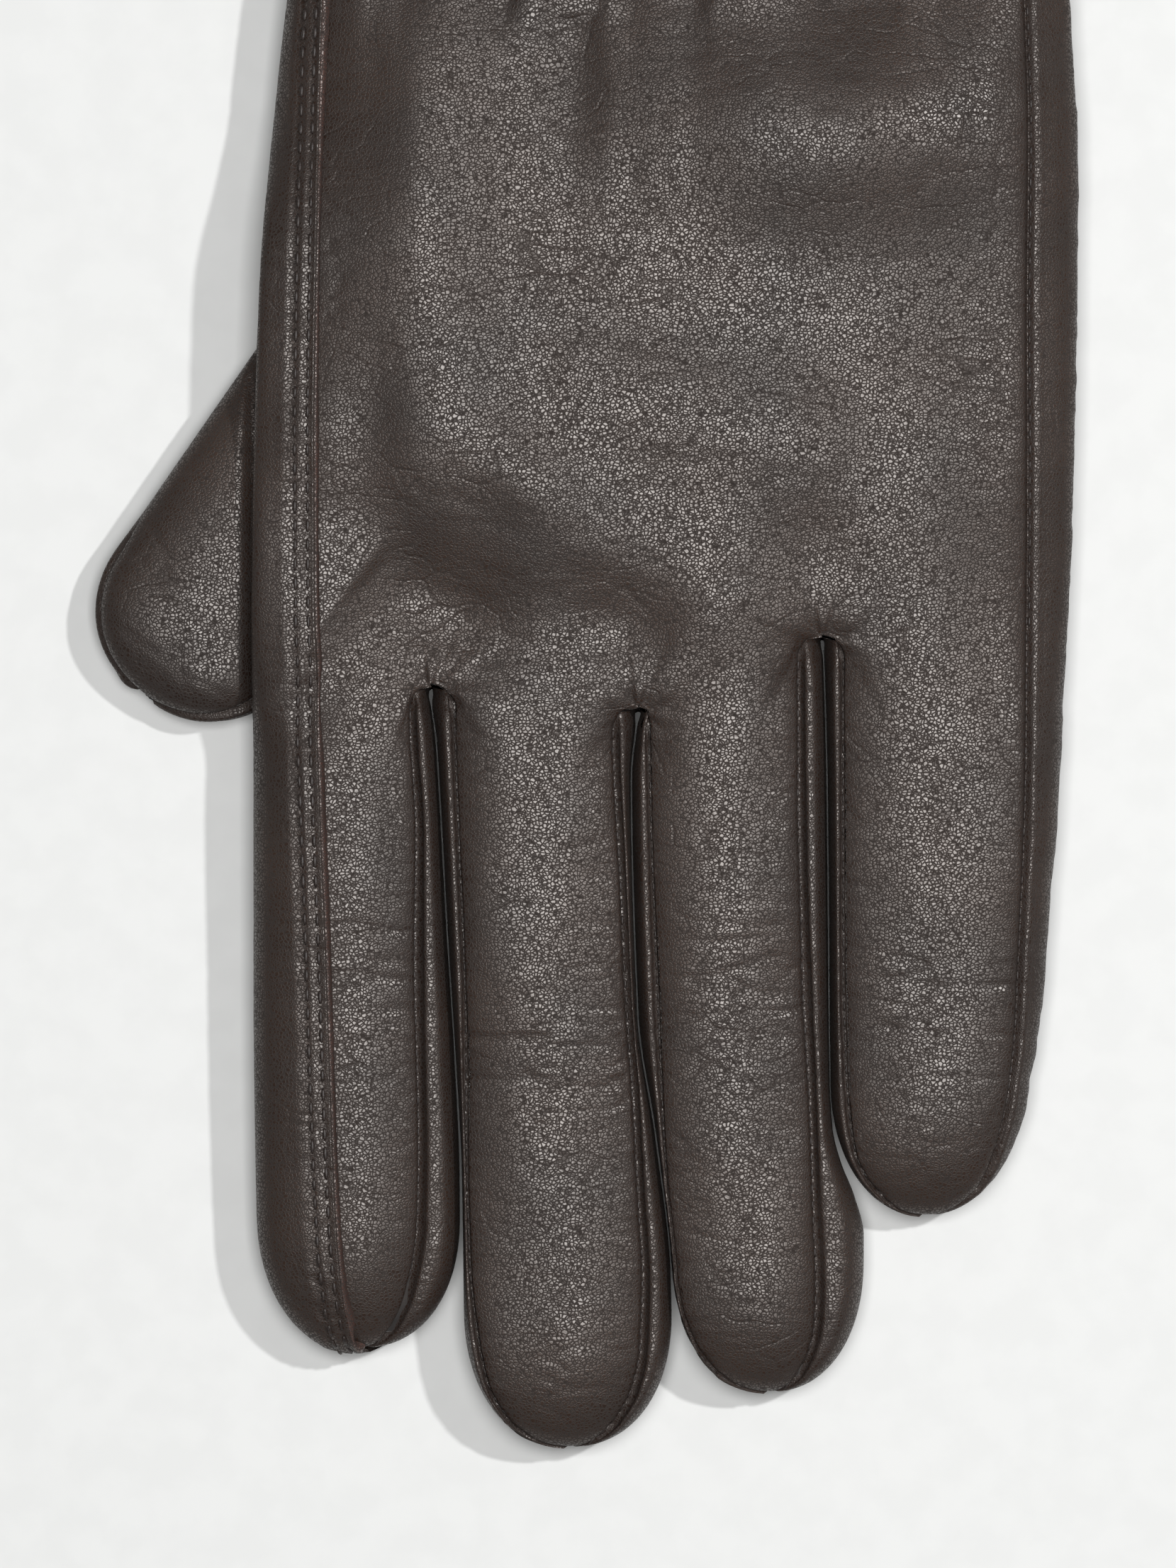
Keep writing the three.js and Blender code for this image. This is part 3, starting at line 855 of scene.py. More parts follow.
class NodePad:
    """A short hand for placing and linking shader or geometry nodes in a tree."""

    def __init__(self, tree: bpy.types.NodeTree) -> None:
        """Takes the tree to work in."""
        self.tree = tree

    def add(self, kind: str, inputs: dict | None = None, **settings: object) -> bpy.types.Node:
        """Adds a node.

        Args:
            kind: Blender's name of the node type.
            inputs: values or output sockets for its inputs, by name or number.
            settings: the node's own properties.

        Returns:
            The node.
        """
        node = self.tree.nodes.new(kind)
        for key, value in settings.items():
            setattr(node, key, value)
        for key, value in (inputs or {}).items():
            socket = node.inputs[key]
            if isinstance(value, bpy.types.NodeSocket):
                self.tree.links.new(value, socket)
            else:
                socket.default_value = value
        return node

    def maths(self, operation: str, *values: object) -> bpy.types.NodeSocket:
        """A Math node's result."""
        return self.add("ShaderNodeMath", dict(enumerate(values)), operation=operation).outputs[0]

    def scaled(self, vector: object, size: tuple[float, float, float]) -> bpy.types.NodeSocket:
        """A vector multiplied part by part."""
        node = self.add("ShaderNodeVectorMath", {0: vector, 1: size}, operation="MULTIPLY")
        return node.outputs[0]

    def ramp(self, value: object, stops: Sequence[tuple[float, tuple]]) -> bpy.types.NodeSocket:
        """A colour ramp's colour."""
        node = self.add("ShaderNodeValToRGB", {0: value})
        elements = node.color_ramp.elements
        while len(elements) < len(stops):
            elements.new(0.5)
        for element, (place, colour) in zip(elements, stops):
            element.position = place
            element.color = colour
        return node.outputs[0]


def new_group(name: str, inputs: dict[str, tuple[str, float]], outputs: dict[str, str]) -> tuple:
    """Starts a shader node group.

    Args:
        name: the group's name.
        inputs: socket type and default by input name.
        outputs: socket type by output name.

    Returns:
        The group, its pad, its input node and its output node.
    """
    group = bpy.data.node_groups.new(name, "ShaderNodeTree")
    for key, (kind, default) in inputs.items():
        socket = group.interface.new_socket(key, in_out="INPUT", socket_type=kind)
        if kind == "NodeSocketFloat":
            socket.default_value = default
    for key, kind in outputs.items():
        group.interface.new_socket(key, in_out="OUTPUT", socket_type=kind)
    pad = NodePad(group)
    return group, pad, pad.add("NodeGroupInput"), pad.add("NodeGroupOutput")


def grain_group() -> bpy.types.NodeTree:
    """The pebbled grain of leather, with fine creases that run across the glove.

    Returns:
        A group that puts out a height and a mask of the valleys between the pebbles and along the crease lines, where
        the leather finish paints shade.
    """
    group, pad, given, out = new_group(
        "pebbled grain",
        {
            "Place": ("NodeSocketVector", 0.0),
            "Pebbles per Metre": ("NodeSocketFloat", 1500.0),
            "Crease": ("NodeSocketFloat", 0.5),
            "Pucker": ("NodeSocketFloat", 0.0),
        },
        {"Height": "NodeSocketFloat", "Valley": "NodeSocketFloat"},
    )
    place = given.outputs["Place"]
    warp = pad.add("ShaderNodeTexNoise", {"Vector": place, "Scale": 700.0, "Detail": 2.0})
    shift = pad.scaled(warp.outputs["Color"], (0.0005, 0.0005, 0.0005))
    bent = pad.add("ShaderNodeVectorMath", {0: place, 1: shift}, operation="ADD").outputs[0]
    stretched = pad.scaled(bent, (0.94, 1.06, 1.0))
    cells = pad.add(
        "ShaderNodeTexVoronoi",
        {"Vector": stretched, "Scale": given.outputs["Pebbles per Metre"]},
        feature="DISTANCE_TO_EDGE",
    )
    body = pad.maths("SMOOTH_MIN", cells.outputs["Distance"], 0.2, 0.14)
    small = pad.add("ShaderNodeTexNoise", {"Vector": place, "Scale": 2600.0, "Detail": 1.0})
    fine = pad.maths("MULTIPLY", small.outputs["Fac"], 0.18)
    across = pad.scaled(bent, (130.0, 640.0, 300.0))
    lines = pad.add("ShaderNodeTexNoise", {"Vector": across, "Scale": 1.0, "Detail": 3.0})
    off_middle = pad.maths("ABSOLUTE", pad.maths("SUBTRACT", lines.outputs["Fac"], 0.5))
    shallow = pad.maths("MINIMUM", pad.maths("MULTIPLY", off_middle, 12.0), 0.45)
    crease = pad.maths("MULTIPLY", shallow, given.outputs["Crease"])
    ridged = pad.scaled(place, (160.0, 1150.0, 500.0))
    ridges = pad.add("ShaderNodeTexNoise", {"Vector": ridged, "Scale": 1.0, "Detail": 1.0})
    puckers = pad.maths("MULTIPLY", pad.maths("MULTIPLY", ridges.outputs["Fac"], 3.2), given.outputs["Pucker"])
    swirl = pad.add("ShaderNodeTexNoise", {"Vector": place, "Scale": 140.0, "Detail": 3.0})
    swing = pad.scaled(swirl.outputs["Color"], (0.007, 0.004, 0.004))
    swung = pad.add("ShaderNodeVectorMath", {0: place, 1: swing}, operation="ADD")
    folds = pad.add(
        "ShaderNodeTexVoronoi",
        {"Vector": pad.scaled(swung.outputs[0], (0.6, 1.3, 1.0)), "Scale": 240.0},
        feature="DISTANCE_TO_EDGE",
    )
    thin = pad.maths("SUBTRACT", 1.0, pad.maths("MINIMUM", pad.maths("MULTIPLY", folds.outputs["Distance"], 17.0), 1.0))
    shown = pad.add("ShaderNodeTexNoise", {"Vector": place, "Scale": 75.0, "Detail": 2.0})
    where = pad.maths("MAXIMUM", pad.maths("MULTIPLY_ADD", shown.outputs["Fac"], 5.0, -2.3), 0.0)
    line = pad.maths("MULTIPLY", pad.maths("MULTIPLY", thin, pad.maths("MINIMUM", where, 1.0)), given.outputs["Crease"])
    pebbles = pad.maths("ADD", pad.maths("MULTIPLY", body, 3.0), fine)
    relief = pad.maths("ADD", pebbles, pad.maths("ADD", crease, puckers))
    height = pad.maths("SUBTRACT", relief, pad.maths("MULTIPLY", line, 2.6))
    flank = pad.maths("MULTIPLY", cells.outputs["Distance"], 4.2)
    valley = pad.maths("SUBTRACT", 1.0, pad.maths("MINIMUM", flank, 1.0))
    pad.tree.links.new(height, out.inputs["Height"])
    # The valley mask covers the pebbles' valleys and the crease lines; the leather finish paints shade there and makes
    # them rougher.
    pad.tree.links.new(pad.maths("MAXIMUM", valley, line), out.inputs["Valley"])
    return group


@dataclass(frozen=True)
class LeatherFinish:
    """Dyed, pebbled glove leather: colours with painted shade in the grain's valleys and beside the seams, grain size
    and depth, gloss.
    """

    name: str = "brown leather"
    dye: tuple[float, float, float] = (0.034, 0.0185, 0.0125)
    # The darkest of the random tones, also the painted shade beside the seams.
    dark: tuple[float, float, float] = (0.017, 0.0092, 0.0066)
    worn: tuple[float, float, float] = (0.05, 0.033, 0.026)
    # Painted shade for the valleys between the pebbles and along the crease lines.
    painted_valley_shade: tuple[float, float, float] = (0.007, 0.0035, 0.0025)
    pebbles: float = 2400.0
    grain_depth: float = 0.000036
    crease: float = 0.55
    roughness: float = 0.33
    sheen: float = 0.76
    sheen_tint: tuple[float, float, float] = (1.0, 0.95, 0.91)

    def make(self, grain: bpy.types.NodeTree) -> bpy.types.Material:
        """Builds the material round the shared grain."""
        material = bpy.data.materials.new(self.name)
        material.use_nodes = True
        pad = NodePad(material.node_tree)
        pad.tree.nodes.clear()
        place = pad.add("ShaderNodeAttribute", attribute_name="rest_place").outputs["Vector"]
        pucker = pad.add("ShaderNodeAttribute", attribute_name="pucker").outputs["Fac"]
        skin = pad.add("ShaderNodeGroup", node_tree=grain)
        for key, value in {"Pebbles per Metre": self.pebbles, "Crease": self.crease}.items():
            skin.inputs[key].default_value = value
        pad.tree.links.new(place, skin.inputs["Place"])
        pad.tree.links.new(pucker, skin.inputs["Pucker"])
        patches = pad.add("ShaderNodeTexNoise", {"Vector": place, "Scale": 60.0, "Detail": 3.0})
        stops = [(0.3, (*self.dark, 1)), (0.62, (*self.dye, 1)), (0.85, (*self.worn, 1))]
        tone = pad.ramp(patches.outputs["Fac"], stops)
        # Paints shade into the valleys between the pebbles and along the crease lines, by the valley mask.
        painted_valley_shade = pad.add(
            "ShaderNodeMix",
            {"Factor": pad.maths("MULTIPLY", skin.outputs["Valley"], 0.9), "A": tone, "B": (*self.painted_valley_shade, 1)},
            data_type="RGBA",
        )
        # Paints shade beside the seams and the lapped edge where the mask is high; the hem gets a little of it all
        # over.
        near = pad.maths("MULTIPLY", pucker, 0.55)
        colour = pad.add("ShaderNodeMix", data_type="RGBA")
        pad.tree.links.new(near, colour.inputs["Factor"])
        pad.tree.links.new(painted_valley_shade.outputs["Result"], colour.inputs["A"])
        colour.inputs["B"].default_value = (*self.dark, 1)
        uneven = pad.add("ShaderNodeTexNoise", {"Vector": place, "Scale": 240.0, "Detail": 2.0})
        gloss = pad.maths("MULTIPLY_ADD", uneven.outputs["Fac"], 0.06, self.roughness - 0.03)
        rough = pad.maths("MULTIPLY_ADD", skin.outputs["Valley"], 0.6, gloss)
        raised = {"Strength": 1.0, "Distance": self.grain_depth, "Height": skin.outputs["Height"]}
        bump = pad.add("ShaderNodeBump", raised)
        shader = pad.add(
            "ShaderNodeBsdfPrincipled",
            {"Base Color": colour.outputs["Result"], "Roughness": rough, "Normal": bump.outputs[0], "IOR": 1.5},
        )
        shader.inputs["Specular IOR Level"].default_value = self.sheen
        shader.inputs["Specular Tint"].default_value = (*self.sheen_tint, 1.0)
        end = pad.add("ShaderNodeOutputMaterial")
        pad.tree.links.new(shader.outputs[0], end.inputs["Surface"])
        return material


@dataclass(frozen=True)
class ThreadFinish:
    """Twisted sewing thread."""

    name: str = "sewing thread"
    colour: tuple[float, float, float] = (0.013, 0.008, 0.0065)
    light: tuple[float, float, float] = (0.035, 0.024, 0.02)
    roughness: float = 0.5

    def make(self) -> bpy.types.Material:
        """Builds the material."""
        material = bpy.data.materials.new(self.name)
        material.use_nodes = True
        pad = NodePad(material.node_tree)
        shader = pad.tree.nodes["Principled BSDF"]
        place = pad.add("ShaderNodeTexCoord").outputs["Object"]
        twist = pad.add("ShaderNodeTexNoise", {"Vector": pad.scaled(place, (2500.0, 5200.0, 2500.0)), "Scale": 1.0})
        tone = pad.ramp(twist.outputs["Fac"], [(0.35, (*self.colour, 1)), (0.7, (*self.light, 1))])
        pad.tree.links.new(tone, shader.inputs["Base Color"])
        shader.inputs["Roughness"].default_value = self.roughness
        bump = pad.add("ShaderNodeBump", {"Strength": 0.6, "Distance": 0.00005, "Height": twist.outputs["Fac"]})
        pad.tree.links.new(bump.outputs[0], shader.inputs["Normal"])
        return material


@dataclass(frozen=True)
class ClothFinish:
    """A knitted or woven fabric: two colours, threads per metre each way, and depth."""

    name: str
    colour: tuple[float, float, float]
    light: tuple[float, float, float]
    per_metre: tuple[float, float] = (900.0, 700.0)
    depth: float = 0.0002
    roughness: float = 0.9

    def make(self) -> bpy.types.Material:
        """Builds the material."""
        material = bpy.data.materials.new(self.name)
        material.use_nodes = True
        pad = NodePad(material.node_tree)
        shader = pad.tree.nodes["Principled BSDF"]
        place = pad.add("ShaderNodeTexCoord").outputs["Object"]
        ribs = []
        for axis, rate in zip("XY", self.per_metre):
            settings = {"Vector": place, "Scale": rate / 20.0, "Distortion": 1.2, "Detail": 1.0}
            wave = pad.add("ShaderNodeTexWave", settings)
            wave.bands_direction = axis
            ribs.append(wave.outputs["Fac"])
        weave = pad.maths("MULTIPLY", *ribs)
        fuzz = pad.add("ShaderNodeTexNoise", {"Vector": place, "Scale": 1800.0, "Detail": 2.0})
        height = pad.maths("MULTIPLY_ADD", fuzz.outputs["Fac"], 0.4, weave)
        tone = pad.ramp(height, [(0.2, (*self.colour, 1)), (0.9, (*self.light, 1))])
        pad.tree.links.new(tone, shader.inputs["Base Color"])
        shader.inputs["Roughness"].default_value = self.roughness
        shader.inputs["Sheen Weight"].default_value = 0.3
        bump = pad.add("ShaderNodeBump", {"Strength": 0.8, "Distance": self.depth, "Height": height})
        pad.tree.links.new(bump.outputs[0], shader.inputs["Normal"])
        return material


@dataclass(frozen=True)
class PaperFinish:
    """The pale, faintly fibrous ground that the glove lies on."""

    name: str = "pale ground"
    colour: tuple[float, float, float] = (0.79, 0.795, 0.785)

    def make(self) -> bpy.types.Material:
        """Builds the material."""
        material = bpy.data.materials.new(self.name)
        material.use_nodes = True
        pad = NodePad(material.node_tree)
        shader = pad.tree.nodes["Principled BSDF"]
        place = pad.add("ShaderNodeTexCoord").outputs["Object"]
        fibre = pad.add("ShaderNodeTexNoise", {"Vector": place, "Scale": 180.0, "Detail": 4.0})
        darker = tuple(c * 0.975 for c in self.colour)
        tone = pad.ramp(fibre.outputs["Fac"], [(0.4, (*darker, 1)), (0.6, (*self.colour, 1))])
        pad.tree.links.new(tone, shader.inputs["Base Color"])
        shader.inputs["Roughness"].default_value = 0.9
        shader.inputs["Specular IOR Level"].default_value = 0.1
        return material


@dataclass
class Wardrobe:
    """The finishes of the glove, each made once."""

    leather: bpy.types.Material
    thread: bpy.types.Material
    raw_edge: bpy.types.Material
    lining: bpy.types.Material
    elastic: bpy.types.Material
    pad: bpy.types.Material
    label: bpy.types.Material

    @classmethod
    def made(cls) -> "Wardrobe":
        """Makes every finish."""
        grain = grain_group()
        edge = LeatherFinish(
            name="raw leather edge", dye=(0.075, 0.038, 0.03), dark=(0.035, 0.017, 0.013), worn=(0.12, 0.07, 0.055)
        )
        return cls(
            leather=LeatherFinish().make(grain),
            thread=ThreadFinish().make(),
            raw_edge=edge.make(grain),
            lining=ClothFinish("lining knit", (0.014, 0.011, 0.01), (0.05, 0.042, 0.038)).make(),
            elastic=ClothFinish("ribbed elastic", (0.01, 0.009, 0.009), (0.03, 0.028, 0.027), (1600.0, 500.0)).make(),
            pad=ClothFinish("touch cloth", (0.05, 0.045, 0.042), (0.16, 0.15, 0.14), (2400.0, 2400.0)).make(),
            label=ClothFinish("label tape", (0.5, 0.47, 0.42), (0.72, 0.69, 0.63), (3000.0, 3000.0), 0.00005).make(),
        )


# ---------------------------------------------------------------------------
# Stitches
# ---------------------------------------------------------------------------


@dataclass(frozen=True)
class StitchRow:
    """A row of stitches: pitch, and each stitch's length, width and height."""

    pitch: float = 2.3
    length: float = 1.75
    width: float = 0.5
    height: float = 0.46

    def tree(self) -> bpy.types.NodeTree:
        """The geometry nodes that lay stitches along a curve.

        Returns:
            A node tree with named inputs for its sizes and its seed.
        """
        found = bpy.data.node_groups.get("row of stitches")
        if found:
            return found
        tree = bpy.data.node_groups.new("row of stitches", "GeometryNodeTree")
        sockets = tree.interface
        sockets.new_socket("Geometry", in_out="INPUT", socket_type="NodeSocketGeometry")
        for key in ("Pitch", "Length", "Width", "Height"):
            sockets.new_socket(key, in_out="INPUT", socket_type="NodeSocketFloat")
        sockets.new_socket("Seed", in_out="INPUT", socket_type="NodeSocketInt")
        sockets.new_socket("Thread", in_out="INPUT", socket_type="NodeSocketMaterial")
        sockets.new_socket("Geometry", in_out="OUTPUT", socket_type="NodeSocketGeometry")
        pad = NodePad(tree)
        given, out = pad.add("NodeGroupInput"), pad.add("NodeGroupOutput")
        spaced = pad.add(
            "GeometryNodeResampleCurve",
            {"Curve": given.outputs["Geometry"], "Length": given.outputs["Pitch"]},
            mode="LENGTH",
        )
        ball = pad.add("GeometryNodeMeshUVSphere", {"Segments": 8, "Rings": 6, "Radius": 0.5})
        size = pad.add(
            "ShaderNodeCombineXYZ",
            {"X": given.outputs["Length"], "Y": given.outputs["Width"], "Z": given.outputs["Height"]},
        )
        stitch = pad.add("GeometryNodeTransform", {"Geometry": ball.outputs["Mesh"], "Scale": size.outputs[0]})
        tangent = pad.add("GeometryNodeInputTangent")
        facing = pad.add("FunctionNodeAlignRotationToVector", {"Vector": tangent.outputs[0]}, axis="X")
        vary = pad.add(
            "FunctionNodeRandomValue",
            {"Min": (0.9, 0.9, 0.9), "Max": (1.08, 1.1, 1.1), "Seed": given.outputs["Seed"]},
            data_type="FLOAT_VECTOR",
        )
        placed = pad.add(
            "GeometryNodeInstanceOnPoints",
            {
                "Points": spaced.outputs[0],
                "Instance": stitch.outputs[0],
                "Rotation": facing.outputs[0],
                "Scale": vary.outputs[0],
            },
        )
        real = pad.add("GeometryNodeRealizeInstances", {"Geometry": placed.outputs[0]})
        painted = pad.add(
            "GeometryNodeSetMaterial", {"Geometry": real.outputs[0], "Material": given.outputs["Thread"]}
        )
        tree.links.new(painted.outputs[0], out.inputs["Geometry"])
        return tree

    def sew(self, name: str, path: Array, thread: bpy.types.Material, seed: int) -> bpy.types.Object:
        """Lays a row of stitches along a path.

        Args:
            name: the piece's name.
            path: points in millimetres.
            thread: the thread's material.
            seed: which repeatable unevenness.

        Returns:
            A plain mesh object.
        """
        curve = bpy.data.curves.new(name + " path", "CURVE")
        curve.dimensions = "3D"
        spline = curve.splines.new("POLY")
        spline.points.add(len(path) - 1)
        spline.points.foreach_set("co", np.column_stack([path * MM, np.ones(len(path))]).ravel())
        guide = bpy.data.objects.new(name + " path", curve)
        bpy.context.scene.collection.objects.link(guide)
        maker = guide.modifiers.new("stitches", "NODES")
        tree = self.tree()
        maker.node_group = tree
        values = {
            "Pitch": self.pitch * MM,
            "Length": self.length * MM,
            "Width": self.width * MM,
            "Height": self.height * MM,
            "Seed": seed,
            "Thread": thread,
        }
        for item in tree.interface.items_tree:
            if item.item_type == "SOCKET" and item.in_out == "INPUT" and item.name in values:
                maker[item.identifier] = values[item.name]
        bpy.context.view_layer.update()
        evaluated = guide.evaluated_get(bpy.context.evaluated_depsgraph_get())
        mesh = bpy.data.meshes.new_from_object(evaluated)
        mesh.name = name
        bpy.data.objects.remove(guide)
        mesh.polygons.foreach_set("use_smooth", np.ones(len(mesh.polygons), bool))
        made = bpy.data.objects.new(name, mesh)
        bpy.context.scene.collection.objects.link(made)
        return made


SEAM_STITCH = StitchRow(pitch=1.9, length=1.25, width=0.3, height=0.26)


def path_at(points: Array, column: int, distance: float, normals: Array, rise: float) -> Array:
    """A path over a skin at a distance from one of its columns.

    Args:
        points: the skin, rows by columns by 3.
        column: the column to measure from.
        distance: signed distance over the skin.
        normals: the skin's unit normals.
        rise: how far the path stands off the skin.

    Returns:
        One point per row.
    """
    arc = arc_from(points, column)
    lifted = points + normals * rise
    return np.array([[np.interp(distance, arc[r], lifted[r, :, k]) for k in range(3)] for r in range(len(points))])


# ---------------------------------------------------------------------------
# The glove's sub-assemblies
# ---------------------------------------------------------------------------


def joint_place(name: str) -> tuple[float, float]:
    """Where a joint's axis is, across and along, in millimetres."""
    joint = next(j for j in frame["joints"] if j["name"] == name)
    return joint["pos_m"][0] / MM, joint["pos_m"][1] / MM


@dataclass
class FingerSkin:
    """The leather of one finger, from the hand to the tip, in panels cut into a base piece and a tip piece."""

    form: FingerForm
    ring: Ring
    knuckle: float
    bend: float
    wardrobe: Wardrobe
    seam_stitch: StitchRow = SEAM_STITCH
    strip_stitch: StitchRow = StitchRow()

    def node_names(self, panel: str) -> tuple[str, str]:
        """The two CAD nodes that a panel stands for."""
        name = self.form.name
        if panel in ("back", "palm"):
            return f"{name}_{panel}_base", f"{name}_{panel}_tip"
        side = self.form.side_nodes[0 if panel == "left" else 1]
        return f"{side}_base", f"{side}_tip"

    def rows(self, first: float, last: float) -> slice:
        """The rows between two places, both included."""
        inside = np.nonzero((self.ring.y <= first + 1e-6) & (self.ring.y >= last - 1e-6))[0]
        return slice(inside[0], inside[-1] + 1)

    def bend_at_knuckle(self, piece: bpy.types.Object) -> None:
        """Bakes the placement of a piece between the hand and the finger's first half into its mesh."""
        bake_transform(piece)

    def bend_at_middle(self, piece: bpy.types.Object) -> None:
        """Bakes the placement of a piece from the finger's middle to its tip into its mesh."""
        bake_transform(piece)

    def build(self) -> None:
        """Makes the panels and their stitches."""
        split = (self.knuckle - 10.5 + self.bend + BLEND_HALF) / 2
        split = float(self.ring.y[np.argmin(np.abs(self.ring.y - split))])
        parts = [
            (self.rows(LEATHER_SPLIT_Y, split), self.bend_at_knuckle),
            (self.rows(split, -999.0), self.bend_at_middle),
        ]
        for panel in ("back", "palm", "left", "right"):
            points = self.ring.panel(panel)
            normals = self.ring.normals[:, self.ring.panels[panel]]
            pucker = self.ring.pucker[:, self.ring.panels[panel]]
            gap = {"left": self.form.left_gap, "right": self.form.right_gap}.get(panel)
            for (rows, bend), node in zip(parts, self.node_names(panel)):
                if gap and bend == self.bend_at_knuckle:
                    rows = self.rows(gap.top + 1.2, split)
                piece = grid_mesh(node + "_leather", points[rows], normals[rows], {"pucker": pucker[rows]})
                dress(piece, self.wardrobe.leather)
                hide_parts(node)
                bend(piece)
                if panel == "back":
                    self.sew_seams(node, points[rows], normals[rows], rows, bend)
            if panel == "left" and self.form.left_gap is None:
                self.edge_and_rows(points, normals, parts)

    def sew_seams(
        self,
        node: str,
        points: Array,
        normals: Array,
        rows: slice,
        bend: Callable[[bpy.types.Object], None],
    ) -> None:
        """Lays small stitches in the grooves beside the back panel."""
        y = self.ring.y[rows]
        sides = {"inner": (0, self.form.right_gap, 0.34), "outer": (points.shape[1] - 1, self.form.left_gap, -0.34)}
        for side, (column, gap, distance) in sides.items():
            if gap is None and side == "outer":
                continue
            top = gap.top - 2.5 if gap else 999.0
            kept = (y < top) & (y > self.form.tip + 0.6)
            if kept.sum() < 8:
                continue
            path = path_at(points[kept], column, distance, normals[kept], 0.1)
            row = self.seam_stitch.sew(f"{node}_{side}_seam_stitches", path, self.wardrobe.thread, self.form.seed)
            bend(row)

    def edge_and_rows(self, points: Array, normals: Array, parts: list) -> None:
        """The lapped strip's raw edge and its two rows of stitches."""
        for (rows, bend), part in zip(parts, ("base", "tip")):
            edge = lap_edge(f"index_lap_edge_{part}", points[rows], normals[rows], self.wardrobe)
            bend(edge)
            for number, distance in enumerate(STRIP_ROWS):
                inside = rows if part == "base" else slice(rows.start, rows.stop - 6)
                path = path_at(points[inside], 0, distance, normals[inside], 0.08)
                name = f"index_strip_stitches_{number + 1}_{part}"
                row = self.strip_stitch.sew(name, path, self.wardrobe.thread, STRIP_SEED + number)
                bend(row)


def lap_edge(name: str, points: Array, normals: Array, wardrobe: Wardrobe) -> bpy.types.Object:
    """The cut edge of the strip that laps over the back panel, as a narrow rounded wall.

    Args:
        name: the piece's name.
        points: the strip's points, whose first column is the edge.
        normals: the strip's normals.
        wardrobe: the finishes.

    Returns:
        The piece.
    """
    top, normal = points[:, 0], normals[:, 6]
    away = top - points[:, 2]
    away = away / np.maximum(np.linalg.norm(away, axis=-1, keepdims=True), 1e-3)
    columns = []
    for t in np.linspace(0.0, 1.0, 6):
        turn = math.pi / 2 * t
        columns.append(top + away * 0.5 * math.sin(turn) - normal * 0.95 * (1 - math.cos(turn)))
    grid = np.stack(columns, 1)
    facing = normals_of(grid)
    facing = facing * np.sign(np.sum(facing * (normal + away)[:, None]))
    piece = grid_mesh(name, grid, facing, {"pucker": np.zeros(grid.shape[:2])})
    dress(piece, wardrobe.raw_edge)
    return piece


